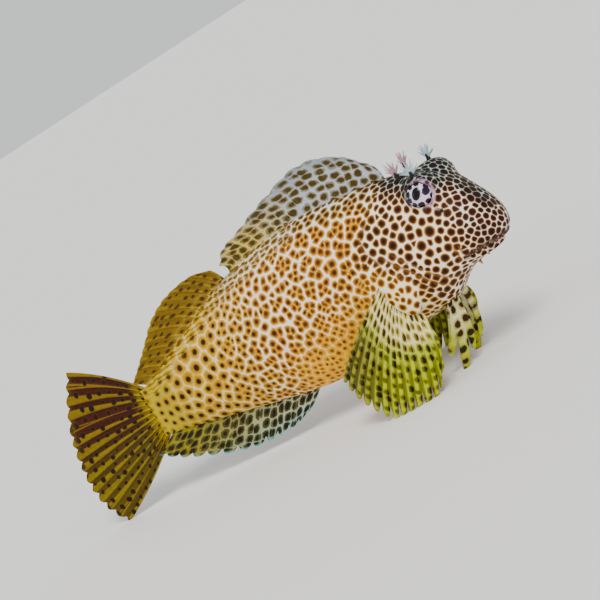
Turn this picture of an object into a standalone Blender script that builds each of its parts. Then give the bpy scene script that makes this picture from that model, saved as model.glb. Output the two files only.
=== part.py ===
# Leopard blenny, life size, perched on its pelvic and pectoral fins with its tail resting behind.
# Lengths below are in millimetres and angles in degrees. to_metres turns a finished mesh into
# Blender's metres. +X is towards the snout, +Y towards the fish's left, +Z up from the floor.

import math
import random

import bmesh
import bpy
import numpy as np
from mathutils import Matrix, Vector
from mathutils.bvhtree import BVHTree

MM = 0.001
GAP = 0.3

# Driving sizes of the fish
SNOUT_X = 54.2
SNOUT_Z = 24.7
TAIL_BASE_X = -45.6
FLOOR_Z = 0.6

# The body is a loft between a back line and a belly line. Each station holds a point of the
# back, a point of the belly, half the width, the level of the widest place as a share of the
# height, and how far the section is pinched above and below it.
STATIONS = [
    dict(back=(53.9, 26.5), belly=(53.2, 22.9), half=2.6, widest=0.50, above=0.85, below=0.85),
    dict(back=(53.5, 28.2), belly=(51.1, 21.7), half=4.6, widest=0.48, above=0.85, below=0.85),
    dict(back=(52.5, 30.8), belly=(48.2, 20.6), half=6.1, widest=0.45, above=0.85, below=0.88),
    dict(back=(50.8, 33.9), belly=(45.4, 19.7), half=7.4, widest=0.42, above=0.88, below=0.92),
    dict(back=(48.3, 37.7), belly=(42.4, 18.8), half=8.5, widest=0.41, above=0.92, below=0.95),
    dict(back=(44.6, 40.7), belly=(39.5, 17.1), half=9.3, widest=0.41, above=0.98, below=0.97),
    dict(back=(40.2, 42.7), belly=(36.1, 14.6), half=10.0, widest=0.42, above=1.05, below=0.98),
    dict(back=(34.4, 43.8), belly=(31.2, 13.2), half=10.4, widest=0.45, above=1.15, below=1.00),
    dict(back=(27.2, 44.5), belly=(25.2, 12.2), half=10.5, widest=0.47, above=1.22, below=1.00),
    dict(back=(18.6, 45.1), belly=(17.4, 10.9), half=10.2, widest=0.47, above=1.28, below=0.97),
    dict(back=(9.2, 45.2), belly=(8.6, 9.6), half=9.5, widest=0.46, above=1.30, below=0.94),
    dict(back=(-0.6, 44.0), belly=(-0.6, 9.0), half=8.4, widest=0.46, above=1.30, below=0.95),
    dict(back=(-10.4, 41.5), belly=(-10.4, 9.8), half=7.0, widest=0.48, above=1.28, below=1.00),
    dict(back=(-20.2, 37.8), belly=(-20.2, 11.2), half=5.5, widest=0.50, above=1.22, below=1.08),
    dict(back=(-29.6, 33.8), belly=(-29.6, 12.7), half=4.1, widest=0.50, above=1.15, below=1.10),
    dict(back=(-38.2, 30.0), belly=(-38.4, 14.2), half=2.9, widest=0.50, above=1.08, below=1.08),
    dict(back=(-45.2, 27.6), belly=(-46.0, 15.2), half=1.9, widest=0.50, above=1.00, below=1.00),
]
RINGS_PER_STATION = 2
RING_SIDES = 28

# Sideways bend of the backbone: both ends swing towards the fish's right
TAIL_BEND = dict(start_x=5.0, length=75.0, sway=4.6)
HEAD_BEND = dict(start_x=28.0, length=25.0, sway=1.6)

EYE = dict(x=43.3, y=5.7, z=38.3, radius=3.0, socket=3.27, mound=3.72, mound_in=0.75,
           look=(0.2, 1.0, 0.12), brow=(4.6, 4.4, 4.3), brow_in=1.5)
MOUTH = dict(corner_x=44.3, corner_z=22.1, front_z=21.95, open_front=0.7, open_back=0.3, turn=96)
LIP_RADIUS = dict(middle=0.95, corner=0.45)
UPPER_LIP = dict(level=0.45, depth=0.56)
LOWER_LIP = dict(level=-0.45, depth=0.22)
NOSTRIL = dict(z=33.6, turn=60, radius=0.5, rim=0.8)
BARBEL = dict(x=44.4, y=1.8, radius=0.36, length=0.8)

# The rear edge of the gill cover, from the nape down to the throat, as points of x and z
GILL_EDGE = [(37.0, 50.0), (36.0, 45.0), (31.5, 40.5), (27.6, 36.5), (26.8, 33.5), (28.4, 30.6),
             (31.4, 26.6), (34.6, 22.0), (36.6, 17.0), (37.6, 10.0)]
VENT_X = -7.0

COLOURS = dict(
    head=(0.46, 0.36, 0.24), trunk=(0.62, 0.42, 0.20), tail=(0.62, 0.50, 0.16),
    fin=(0.45, 0.45, 0.10), blue_fin=(0.40, 0.43, 0.36), eye=(0.55, 0.50, 0.58),
    cirrus=(0.45, 0.36, 0.38),
)


# Curves and placing

def smooth_curve(points, t):
    """Catmull-Rom curve through the points, with t from 0 at the first to 1 at the last."""
    pts = np.asarray(points, float)
    place = min(max(t, 0.0), 1.0) * (len(pts) - 1)
    i = min(int(place), len(pts) - 2)
    f = place - i
    before = pts[i - 1] if i > 0 else 2 * pts[0] - pts[1]
    after = pts[i + 2] if i + 2 < len(pts) else 2 * pts[-1] - pts[-2]
    a, b = pts[i], pts[i + 1]
    return 0.5 * (2 * a + (b - before) * f + (2 * before - 5 * a + 4 * b - after) * f * f
                  + (3 * a - before - 3 * b + after) * f ** 3)


def backbone(x):
    """Sideways offset of the backbone at x, and its slope."""
    tail = max(0.0, TAIL_BEND["start_x"] - x) / TAIL_BEND["length"]
    head = max(0.0, x - HEAD_BEND["start_x"]) / HEAD_BEND["length"]
    offset = -TAIL_BEND["sway"] * tail ** 2 - HEAD_BEND["sway"] * head ** 2
    slope = 2 * TAIL_BEND["sway"] * tail / TAIL_BEND["length"]
    slope -= 2 * HEAD_BEND["sway"] * head / HEAD_BEND["length"]
    return offset, slope


def bend_body(co):
    """Moves a point of the straight fish to its place on the bent backbone."""
    x, y, z = co
    offset, slope = backbone(x)
    size = math.hypot(1.0, slope)
    return Vector((x - y * slope / size, offset + y / size, z))


# Meshes

def new_object(name, bm):
    mesh = bpy.data.meshes.new(name)
    bmesh.ops.triangulate(bm, faces=bm.faces[:])
    bm.to_mesh(mesh)
    bm.free()
    obj = bpy.data.objects.new(name, mesh)
    bpy.context.scene.collection.objects.link(obj)
    return obj


def mesh_object(name, points, faces):
    mesh = bpy.data.meshes.new(name)
    mesh.from_pydata([tuple(p) for p in points], [], [tuple(f) for f in faces])
    mesh.update()
    obj = bpy.data.objects.new(name, mesh)
    bpy.context.scene.collection.objects.link(obj)
    return obj


def drop(obj):
    mesh = obj.data
    bpy.data.objects.remove(obj)
    bpy.data.meshes.remove(mesh)


def copy_of(obj, name):
    twin = bpy.data.objects.new(name, obj.data.copy())
    bpy.context.scene.collection.objects.link(twin)
    return twin


def bake_modifiers(obj):
    bpy.context.view_layer.update()
    graph = bpy.context.evaluated_depsgraph_get()
    made = bpy.data.meshes.new_from_object(obj.evaluated_get(graph))
    old = obj.data
    obj.modifiers.clear()
    obj.data = made
    bpy.data.meshes.remove(old)


def cut(obj, tool, operation="DIFFERENCE", keep_tool=False):
    step = obj.modifiers.new("cut", "BOOLEAN")
    step.operation = operation
    step.solver = "EXACT"
    step.object = tool
    bake_modifiers(obj)
    if not keep_tool:
        drop(tool)
    return obj


def fuse(obj, pieces):
    """Joins closed pieces to obj in one Boolean union."""
    group = bpy.data.collections.new("pieces")
    bpy.context.scene.collection.children.link(group)
    for piece in pieces:
        group.objects.link(piece)
    step = obj.modifiers.new("fuse", "BOOLEAN")
    step.operation = "UNION"
    step.solver = "EXACT"
    step.operand_type = "COLLECTION"
    step.collection = group
    bake_modifiers(obj)
    for piece in pieces:
        drop(piece)
    bpy.data.collections.remove(group)
    return obj


def keep_largest(obj):
    """Keeps only the largest closed surface of a mesh."""
    bm = bmesh.new()
    bm.from_mesh(obj.data)
    seen, parts = set(), []
    for start in bm.faces:
        if start in seen:
            continue
        part, todo = [], [start]
        seen.add(start)
        while todo:
            face = todo.pop()
            part.append(face)
            for edge in face.edges:
                for other in edge.link_faces:
                    if other not in seen:
                        seen.add(other)
                        todo.append(other)
        parts.append(part)
    parts.sort(key=lambda part: sum(face.calc_area() for face in part), reverse=True)
    for part in parts[1:]:
        bmesh.ops.delete(bm, geom=part, context="FACES")
    loose = [v for v in bm.verts if not v.link_faces]
    bmesh.ops.delete(bm, geom=loose, context="VERTS")
    bm.to_mesh(obj.data)
    bm.free()
    return obj


def grown(obj, by, name):
    """A copy of a closed mesh with every point moved out along its normal."""
    twin = copy_of(obj, name)
    bm = bmesh.new()
    bm.from_mesh(twin.data)
    bm.normal_update()
    moves = [v.normal * by for v in bm.verts]
    for v, move in zip(bm.verts, moves):
        v.co += move
    bm.to_mesh(twin.data)
    bm.free()
    return twin


def ball(name, centre, radii, sides=20, rings=12, pole=(0, 0, 1)):
    bm = bmesh.new()
    bmesh.ops.create_uvsphere(bm, u_segments=sides, v_segments=rings, radius=1.0)
    turn = Vector((0, 0, 1)).rotation_difference(Vector(pole)).to_matrix().to_4x4()
    place = Matrix.Translation(Vector(centre)) @ turn @ Matrix.Diagonal((*radii, 1.0))
    bmesh.ops.transform(bm, matrix=place, verts=bm.verts[:])
    return new_object(name, bm)


def prism(name, outline, low_y, high_y):
    """An outline of x and z points, extruded along Y."""
    n = len(outline)
    points = [(x, low_y, z) for x, z in outline] + [(x, high_y, z) for x, z in outline]
    bm = bmesh.new()
    verts = [bm.verts.new(p) for p in points]
    bm.faces.new(verts[:n])
    bm.faces.new(reversed(verts[n:]))
    for i in range(n):
        k = (i + 1) % n
        bm.faces.new((verts[i], verts[i + n], verts[k + n], verts[k]))
    bmesh.ops.recalc_face_normals(bm, faces=bm.faces[:])
    return new_object(name, bm)


def tube(name, path, radii, sides=6):
    """A closed round bar along a path, with its own radius at each point."""
    path = [Vector(p) for p in path]
    rings = []
    up = Vector((0.13, 0.21, 1.0))
    for i, here in enumerate(path):
        ahead = path[min(i + 1, len(path) - 1)] - path[max(i - 1, 0)]
        side = ahead.cross(up).normalized()
        top = side.cross(ahead).normalized()
        turn = [2 * math.pi * k / sides for k in range(sides)]
        rings.append([here + radii[i] * (side * math.cos(a) + top * math.sin(a)) for a in turn])
    bm = bmesh.new()
    loops = [[bm.verts.new(p) for p in ring] for ring in rings]
    for low, high in zip(loops, loops[1:]):
        for k in range(sides):
            n = (k + 1) % sides
            bm.faces.new((low[k], low[n], high[n], high[k]))
    bm.faces.new(reversed(loops[0]))
    bm.faces.new(loops[-1])
    bmesh.ops.recalc_face_normals(bm, faces=bm.faces[:])
    return new_object(name, bm)


# Body

def station_at(t):
    """The body's section at t, from 0 at the lips to 1 at the tail base."""
    keys = [[*s["back"], *s["belly"], s["half"], s["widest"], s["above"], s["below"]] for s in STATIONS]
    return smooth_curve(keys, t)


def section_point(section, angle):
    """A point of a section: angle 0 is the back, 180 the belly, 90 the fish's left."""
    xt, zt, xb, zb, half, widest, above, below = section
    up = math.cos(angle)
    side = math.sin(angle)
    share = widest + (1 - widest) * up if up >= 0 else widest * (1 + up)
    pinch = above if up >= 0 else below
    y = half * math.copysign(abs(side) ** pinch, side)
    return Vector((xb + (xt - xb) * share, y, zb + (zt - zb) * share))


def back_point(x):
    """Height of the back at x."""
    low, high = 0.0, 1.0
    for _ in range(40):
        middle = (low + high) / 2
        if station_at(middle)[0] > x:
            low = middle
        else:
            high = middle
    return station_at(low)[1]


def belly_point(x):
    low, high = 0.0, 1.0
    for _ in range(40):
        middle = (low + high) / 2
        if station_at(middle)[2] > x:
            low = middle
        else:
            high = middle
    return station_at(low)[3]


def whole_body():
    count = (len(STATIONS) - 1) * RINGS_PER_STATION + 1
    bm = bmesh.new()
    loops = []
    for i in range(count):
        section = station_at(i / (count - 1))
        turns = [2 * math.pi * k / RING_SIDES for k in range(RING_SIDES)]
        loops.append([bm.verts.new(section_point(section, a)) for a in turns])
    for low, high in zip(loops, loops[1:]):
        for k in range(RING_SIDES):
            n = (k + 1) % RING_SIDES
            bm.faces.new((low[k], low[n], high[n], high[k]))
    for loop, tip in ((loops[0], (SNOUT_X, 0, SNOUT_Z)), (loops[-1], (TAIL_BASE_X - 0.6, 0, 21.4))):
        peak = bm.verts.new(tip)
        for k in range(RING_SIDES):
            bm.faces.new((loop[k], loop[(k + 1) % RING_SIDES], peak))
    bmesh.ops.recalc_face_normals(bm, faces=bm.faces[:])
    return new_object("body", bm)


def gill_line(shift):
    count = 24
    points = [smooth_curve(GILL_EDGE, i / count) for i in range(count + 1)]
    return [(x + shift, z) for x, z in points]


def front_block(shift):
    """All that lies before the gill edge."""
    line = gill_line(shift)
    return prism("front", line + [(80, line[-1][1]), (80, line[0][1])], -40, 40)


def slab(low_x, high_x):
    return prism("slab", [(low_x, -20), (high_x, -20), (high_x, 80), (low_x, 80)], -40, 40)


def lips(skin, lip, name):
    """A rounded lip that follows the snout at a height above or below the mouth."""
    tree = BVHTree.FromObject(skin, bpy.context.evaluated_depsgraph_get())
    path, radii = [], []
    count = 12
    for i in range(count + 1):
        turn = math.radians(MOUTH["turn"] * (2 * i / count - 1))
        away = abs(2 * i / count - 1)
        z = MOUTH["front_z"] + (MOUTH["corner_z"] - MOUTH["front_z"]) * away ** 2
        z += lip["level"] * (1 + 0.6 * math.sin(math.pi * away) + 0.05 * away ** 2)
        start = Vector((MOUTH["corner_x"] + 1.2, 0, z))
        hit = tree.ray_cast(start, Vector((math.cos(turn), math.sin(turn), 0)))[0]
        inward = (start - hit).normalized() * (lip["depth"] + 0.25 * away ** 4)
        path.append(hit + inward)
        radii.append(LIP_RADIUS["middle"] + (LIP_RADIUS["corner"] - LIP_RADIUS["middle"]) * away ** 2)
    return tube(name, path, radii, 6)


def eye_centre(side):
    return Vector((EYE["x"], side * EYE["y"], EYE["z"]))


def look_of(side):
    look = EYE["look"]
    return Vector((look[0], side * look[1], look[2])).normalized()


def mound_centre(side):
    """The mound round an eye sits a little deeper than the eye, which leaves a rimmed opening."""
    return eye_centre(side) - look_of(side) * EYE["mound_in"]


def eye_ball(name, centre, radius, side):
    return ball(name, centre, (radius,) * 3, 18, 12, look_of(side))


def brow(name, side, more=0.0):
    """The swelling that leads from the face up to the eye's mound."""
    radii = [radius + more for radius in EYE["brow"]]
    return ball(name, mound_centre(side) - look_of(side) * EYE["brow_in"], radii, 18, 12)


def nostril_of(skin, side):
    """The place of a nostril on the face and the direction in which it opens."""
    tree = BVHTree.FromObject(skin, bpy.context.evaluated_depsgraph_get())
    turn = math.radians(NOSTRIL["turn"])
    way = Vector((math.cos(turn), side * math.sin(turn), 0.25))
    hit, normal = tree.ray_cast(Vector((42.0, 0, NOSTRIL["z"] - 2.0)), way)[:2]
    return hit, normal


def barbel(side):
    """A small soft feeler under the chin."""
    top = Vector((BARBEL["x"], side * BARBEL["y"], belly_point(BARBEL["x"]) + 1.2))
    way = Vector((0.45, side * 0.35, -1.0)).normalized()
    path = [top, top + way * 1.2, top + way * (1.2 + BARBEL["length"])]
    return tube("barbel", path, [BARBEL["radius"] * 1.3, BARBEL["radius"], BARBEL["radius"] * 0.5], 6)


def make_head(body):
    head = copy_of(body, "head")
    bpy.context.view_layer.update()
    pieces = [lips(body, UPPER_LIP, "upper_lip"), lips(body, LOWER_LIP, "lower_lip")]
    pits = []
    for side in (-1, 1):
        pieces += [eye_ball("mound", mound_centre(side), EYE["mound"], side), brow("brow", side), barbel(side)]
        place, normal = nostril_of(body, side)
        pieces.append(ball("rim", place - normal * 0.35, (NOSTRIL["rim"],) * 3, 10, 8, normal))
        pits.append(ball("nostril", place + normal * 0.45, (NOSTRIL["radius"],) * 3, 10, 8, normal))
        twig = place + normal * 0.1 + Vector((-0.5, side * 0.3, 0.35))
        for lean in (-0.4, 0.3):
            aim = (normal * 0.6 + Vector((-0.2, lean, 0.8))).normalized()
            pieces.append(tube("twig", [twig, twig + aim * 0.7, twig + aim * 1.2], [0.3, 0.26, 0.13], 5))
    fuse(head, pieces)
    cut(head, front_block(GAP / 2), "INTERSECT")
    for side, pit in zip((-1, 1), pits):
        cut(head, eye_ball("socket", eye_centre(side), EYE["socket"], side))
        cut(head, pit)
    wedge = [(MOUTH["corner_x"], MOUTH["corner_z"] + MOUTH["open_back"] / 2),
             (60, MOUTH["front_z"] + MOUTH["open_front"] / 2),
             (60, MOUTH["front_z"] - MOUTH["open_front"] / 2),
             (MOUTH["corner_x"], MOUTH["corner_z"] - MOUTH["open_back"] / 2)]
    cut(head, prism("gape", wedge, -20, 20))
    return keep_largest(head)


def make_trunk(body):
    trunk = copy_of(body, "trunk")
    cut(trunk, front_block(-GAP / 2))
    cut(trunk, slab(-90, VENT_X + GAP / 2))
    return keep_largest(trunk)


def make_tail(body):
    tail = copy_of(body, "tail")
    cut(tail, slab(VENT_X - GAP / 2, 90))
    return keep_largest(tail)


def make_eye(side, name):
    return eye_ball(name, eye_centre(side), EYE["radius"], side)


# Fins

def plate(name, centre, half):
    """A curved plate about a grid of points, with both faces split into triangles alike."""
    rows, cols = centre.shape[:2]
    along = np.gradient(centre, axis=0)
    across = np.gradient(centre, axis=1)
    normal = np.cross(along, across)
    normal /= np.linalg.norm(normal, axis=2, keepdims=True)
    points = np.concatenate([
        (centre + normal * half[..., None]).reshape(-1, 3),
        (centre - normal * half[..., None]).reshape(-1, 3),
    ])
    low = rows * cols
    faces = []
    for i in range(rows - 1):
        for j in range(cols - 1):
            a, b = i * cols + j, i * cols + j + 1
            c, d = (i + 1) * cols + j + 1, (i + 1) * cols + j
            faces += [(a, d, c), (a, c, b), (low + a, low + c, low + d), (low + a, low + b, low + c)]
    rim = [j for j in range(cols)]
    rim += [i * cols + cols - 1 for i in range(1, rows)]
    rim += [(rows - 1) * cols + j for j in range(cols - 2, -1, -1)]
    rim += [i * cols for i in range(rows - 2, 0, -1)]
    for a, b in zip(rim, rim[1:] + rim[:1]):
        faces += [(a, b, low + b), (a, low + b, low + a)]
    obj = mesh_object(name, points, faces)
    bm = bmesh.new()
    bm.from_mesh(obj.data)
    bmesh.ops.recalc_face_normals(bm, faces=bm.faces[:])
    bm.to_mesh(obj.data)
    bm.free()
    return obj


def fin(name, rays, root, tip, bow, thick, web, notch, rows, lobes=False, floor=None):
    """A fin of rays that run from the root curve to the tip curve, with a web between them.

    root and tip take t, from 0 at the first ray to 1 at the last, and give points. bow gives
    the bend of a ray at t as a vector. thick is the ray's whole thickness at root and tip, web
    the web's thickness, and notch the share of the length by which the web stops short at t.
    With lobes, each ray has a shoulder on both sides, so that its free end is a finger.
    """
    columns = []
    for i in range(rays):
        t = i / (rays - 1)
        step = 1 / (rays - 1)
        if lobes:
            if i > 0:
                columns.append((t - 0.24 * step, 0.75, 0.08))
            columns.append((t, 1.0, 0.0))
            if i < rays - 1:
                columns.append((t + 0.24 * step, 0.75, 0.08))
                columns.append((t + 0.5 * step, 0.0, 1.0))
        else:
            columns.append((t, 1.0, 0.0))
            if i < rays - 1:
                columns.append((t + 0.5 * step, 0.0, 1.0))
    centre = np.zeros((len(columns), rows + 1, 3))
    half = np.zeros((len(columns), rows + 1))
    for i, (t, ridge, short) in enumerate(columns):
        a, b = np.asarray(root(t), float), np.asarray(tip(t), float)
        reach = 1 - notch(t) * short
        for j in range(rows + 1):
            s = reach * j / rows
            centre[i, j] = a + (b - a) * s + np.asarray(bow(t), float) * 4 * s * (1 - s)
            ray = thick[0] + (thick[1] - thick[0]) * s
            half[i, j] = (web + (ray - web) * ridge) / 2
    return plate(name, centre, half)


def curve_of(points):
    return lambda t: smooth_curve(points, t)


def make_spiny_dorsal():
    base = [34.6, -9.4]
    tips = [(32.6, 0.0, 48.6), (28.6, 0.3, 52.2), (22.6, 0.6, 54.6), (16.4, 0.3, 54.9),
            (9.6, -0.2, 53.0), (3.2, -0.5, 50.9), (-2.8, -0.2, 48.7), (-7.6, 0.0, 47.2), (-10.6, 0.2, 44.2)]

    def root(t):
        x = base[0] + (base[1] - base[0]) * t
        return (x, 0.0, back_point(x) - 1.6)

    return fin("dorsal_fin_spiny", 12, root, curve_of(tips), lambda t: (0.9, 0.25, 0.5),
               (1.15, 0.6), 0.5, lambda t: 0.04 + 0.05 * t, 5)


def make_soft_dorsal():
    base = [-10.8, -42.4]
    tips = [(-13.4, 0.0, 44.4), (-18.2, 0.2, 45.3), (-23.2, 0.4, 44.8), (-28.4, 0.3, 43.4), (-33.4, -0.1, 40.7),
            (-38.0, -0.4, 36.8), (-42.3, -0.4, 33.2), (-46.5, -0.7, 29.8)]

    def root(t):
        x = base[0] + (base[1] - base[0]) * t ** 1.4
        return (x, 0.0, back_point(x) - 1.5)

    def tip(t):
        return smooth_curve(tips, t ** 0.75)

    return fin("dorsal_fin_soft", 14, root, tip, lambda t: (-0.2, 0.3, 0.7 - 0.4 * t),
               (1.0, 0.55), 0.5, lambda t: 0.06, 5)


def make_anal_fin():
    base = [-4.4, -43.0]
    tips = [(-11.4, 0.0, 5.4), (-16.8, 0.3, 3.5), (-22.4, 0.5, 2.9), (-28.4, 0.4, 3.1),
            (-34.8, 0.0, 4.6), (-41.3, -0.3, 6.9), (-46.8, -0.4, 9.2), (-51.2, -0.4, 12.0)]

    def root(t):
        x = base[0] + (base[1] - base[0]) * t
        return (x, 0.0, belly_point(x) + 1.6)

    return fin("anal_fin", 13, root, curve_of(tips), lambda t: (-0.3, -0.2, -0.5),
               (1.0, 0.6), 0.5, lambda t: 0.26 - 0.14 * t, 4, lobes=True)


def make_caudal_fin():
    roots = [(-43.8, 0.1, 26.6), (-43.4, 0.0, 24.0), (-43.4, 0.0, 21.2), (-43.6, 0.0, 18.6), (-44.0, 0.0, 16.4)]
    tips = [(-60.2, 0.6, 39.8), (-64.8, 0.2, 33.2), (-68.6, -0.2, 26.0), (-70.8, -0.3, 19.2),
            (-72.0, -0.2, 12.6), (-72.0, 0.6, 6.2), (-69.8, 1.8, 0.0)]
    return fin("caudal_fin", 14, curve_of(roots), curve_of(tips), lambda t: (0.0, 0.7, 0.9 - 1.8 * t),
               (1.3, 0.6), 0.5, lambda t: 0.05, 7)


PECTORAL_ROOTS = [(27.6, 9.6, 27.4), (26.6, 10.2, 24.2), (26.4, 10.5, 21.0), (27.6, 10.3, 18.2), (30.0, 8.9, 16.2)]
PECTORAL_TIPS = [(9.4, 15.8, 12.4), (10.8, 17.2, 8.4), (12.8, 17.6, 4.6), (15.2, 17.2, 1.0),
                 (18.4, 16.8, -0.2), (21.8, 15.8, -0.2), (25.4, 14.2, 0.0), (28.4, 12.6, 4.4)]


def mirrored(points, side):
    return [(x, side * y, z) for x, y, z in points]


def make_pectoral_fin(side, name):
    def bow(t):
        return (-0.8 + 3.4 * t * t, side * 2.2, -0.2)

    fan = fin(name, 14, curve_of(mirrored(PECTORAL_ROOTS, side)), curve_of(mirrored(PECTORAL_TIPS, side)),
              bow, (1.5, 0.9), 0.5, lambda t: 0.06 + 0.24 * t, 6, lobes=True)
    shoulder = ball("shoulder", (0, 0, 0), (4.6, 2.3, 7.6), 18, 12)
    lean = Matrix.Rotation(math.radians(-24), 4, "Y")
    out = Matrix.Rotation(math.radians(8 * side), 4, "Z")
    shoulder.data.transform(Matrix.Translation((28.0, side * 9.9, 23.2)) @ out @ lean)
    return fuse(fan, [shoulder])


PELVIC_ROOTS = [(35.8, 1.8, 15.8), (34.6, 2.6, 15.6), (33.4, 3.4, 15.4)]
PELVIC_TIPS = [(33.4, 2.6, 3.6), (29.4, 5.0, -0.6), (28.8, 6.6, 5.6)]


def make_pelvic_fin(side, name):
    return fin(name, 3, curve_of(mirrored(PELVIC_ROOTS, side)), curve_of(mirrored(PELVIC_TIPS, side)),
               lambda t: (0.9, 0.3 * side, -0.2), (1.9, 1.2), 0.6, lambda t: 0.5, 7, lobes=True)


# Cirri, the small branched tufts above the eyes, on the nape and at the nostrils

def tuft(name, root, way, fan_axis, height, spread, branches, stem, seed):
    """A stem that splits into a fan of thin branches."""
    draw = random.Random(seed)
    way = Vector(way).normalized()
    axis = Vector(fan_axis).normalized()
    root = Vector(root)
    fork = root + way * height * 0.30
    made = tube(name, [root - way * 0.9, root + way * height * 0.12, fork + way * 0.35],
                [stem, stem * 0.9, stem * 0.55], 7)
    twigs = []
    for i in range(branches):
        share = 2 * i / (branches - 1) - 1
        turn = Matrix.Rotation(math.radians(spread * share + draw.uniform(-3, 3)), 3, axis)
        aim = turn @ way
        side = aim.cross(axis) * draw.uniform(-0.05, 0.05)
        length = height * (0.72 - 0.18 * share * share) * draw.uniform(0.92, 1.06)
        start = root + way * height * 0.16 + aim * 0.05
        path = [start, start + aim * length * 0.5 + side, start + aim * length + way * 0.25]
        twigs.append(tube("twig", path, [0.34, 0.29, 0.14], 5))
    return keep_largest(fuse(made, twigs))


def make_eye_cirrus(side, name):
    root = mound_centre(side) + Vector((0.2, 0.0, EYE["mound"] + 0.35))
    made = tuft(name, root, (0.12, side * 0.10, 1.0), (0.25, side * 1.0, 0.1), 3.6, 58, 8, 0.7, 5 + side)
    cut(made, brow("clear", side, GAP))
    return cut(made, eye_ball("clear", mound_centre(side), EYE["mound"] + GAP, side))


def make_nape_cirrus(side, name):
    root = (39.0, side * 2.6, 42.9)
    return tuft(name, root, (0.06, side * 0.22, 1.0), (0.3, side * 1.0, -0.2), 4.0, 46, 6, 0.6, 9 + side)


def above_floor(obj):
    """Cuts a fin off level with the floor, so that its tips end in small flats."""
    return cut(obj, prism("under", [(-120, -60), (120, -60), (120, FLOOR_Z), (-120, FLOOR_Z)], -80, 80))


# Finish

def material_of(name, colour, roughness):
    made = bpy.data.materials.new(name)
    made.use_nodes = True
    shader = made.node_tree.nodes["Principled BSDF"]
    shader.inputs["Base Color"].default_value = (*colour, 1.0)
    shader.inputs["Roughness"].default_value = roughness
    shader.inputs["Metallic"].default_value = 0.0
    return made


def settle(parts):
    """Bends the straight fish, sets its box's middle over the origin, and turns it into metres."""
    for obj in parts:
        for v in obj.data.vertices:
            v.co = bend_body(v.co)
    points = np.array([v.co for obj in parts for v in obj.data.vertices])
    middle = (points.min(axis=0) + points.max(axis=0)) / 2
    shift = Vector((-middle[0], -middle[1], -FLOOR_Z))
    print("shift to the origin, mm:", [round(c, 3) for c in shift])
    for obj in parts:
        for v in obj.data.vertices:
            v.co = (v.co + shift) * MM
        obj.data.shade_smooth()
        obj.data.set_sharp_from_angle(angle=math.radians(50))


def main():
    for obj in list(bpy.data.objects):
        bpy.data.objects.remove(obj)
    body = whole_body()
    outer = grown(body, GAP, "outer")

    head, trunk, tail = make_head(body), make_trunk(body), make_tail(body)
    eyes = [make_eye(-1, "eye_right"), make_eye(1, "eye_left")]
    upright = [make_spiny_dorsal(), make_soft_dorsal(), make_anal_fin()]
    caudal = make_caudal_fin()
    pectorals = [make_pectoral_fin(-1, "pectoral_fin_right"), make_pectoral_fin(1, "pectoral_fin_left")]
    pelvics = [make_pelvic_fin(-1, "pelvic_fin_right"), make_pelvic_fin(1, "pelvic_fin_left")]
    brows = [make_eye_cirrus(-1, "eye_cirrus_right"), make_eye_cirrus(1, "eye_cirrus_left")]
    napes = [make_nape_cirrus(-1, "nape_cirrus_right"), make_nape_cirrus(1, "nape_cirrus_left")]
    for obj in upright + [caudal] + pectorals + pelvics + napes:
        keep_largest(cut(obj, outer, keep_tool=True))
    for obj in [caudal] + pectorals + pelvics:
        keep_largest(above_floor(obj))

    dressed = [
        ([head], "head", 0.42), ([trunk], "trunk", 0.45), ([tail], "tail", 0.45),
        (eyes, "eye", 0.12), (upright[:1], "blue_fin", 0.4),
        (upright[1:] + [caudal] + pectorals + pelvics, "fin", 0.4), (brows + napes, "cirrus", 0.5),
    ]
    parts = []
    for objects, colour, roughness in dressed:
        made = material_of(colour, COLOURS[colour], roughness)
        for obj in objects:
            obj.data.materials.clear()
            obj.data.materials.append(made)
            parts.append(obj)
    drop(body)
    drop(outer)
    settle(parts)


main()
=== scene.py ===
# Leopard blenny: one skin, two eyes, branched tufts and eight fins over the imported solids.
# Lengths are millimetres in the straight fish's own frame, with the snout at +X and its left at +Y.
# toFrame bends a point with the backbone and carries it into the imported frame, in metres.

import math
import random

import bpy
import numpy as np
from mathutils import Matrix, Vector
from mathutils.bvhtree import BVHTree
from mathutils.kdtree import KDTree


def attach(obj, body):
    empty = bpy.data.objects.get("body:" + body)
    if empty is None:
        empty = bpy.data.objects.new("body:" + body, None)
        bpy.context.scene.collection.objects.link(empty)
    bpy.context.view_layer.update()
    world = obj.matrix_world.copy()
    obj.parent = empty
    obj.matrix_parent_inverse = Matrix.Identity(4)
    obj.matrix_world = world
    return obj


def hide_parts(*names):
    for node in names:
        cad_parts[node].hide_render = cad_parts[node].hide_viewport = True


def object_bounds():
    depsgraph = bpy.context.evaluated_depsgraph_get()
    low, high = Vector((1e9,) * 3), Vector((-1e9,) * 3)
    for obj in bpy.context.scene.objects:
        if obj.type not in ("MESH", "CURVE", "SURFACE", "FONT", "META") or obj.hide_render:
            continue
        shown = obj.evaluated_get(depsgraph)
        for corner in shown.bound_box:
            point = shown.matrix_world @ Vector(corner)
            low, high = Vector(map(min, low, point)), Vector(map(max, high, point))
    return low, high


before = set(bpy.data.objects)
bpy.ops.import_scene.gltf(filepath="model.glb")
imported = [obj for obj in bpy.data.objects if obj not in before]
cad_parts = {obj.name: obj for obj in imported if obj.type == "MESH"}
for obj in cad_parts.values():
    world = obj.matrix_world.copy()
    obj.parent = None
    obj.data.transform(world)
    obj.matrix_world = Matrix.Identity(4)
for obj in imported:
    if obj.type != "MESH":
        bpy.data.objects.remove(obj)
cadBox = [list(corner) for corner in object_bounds()]
print("the packed solids are loaded")

mm = 0.001
hairline = 0.01 * mm


# the fish's own shape

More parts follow.
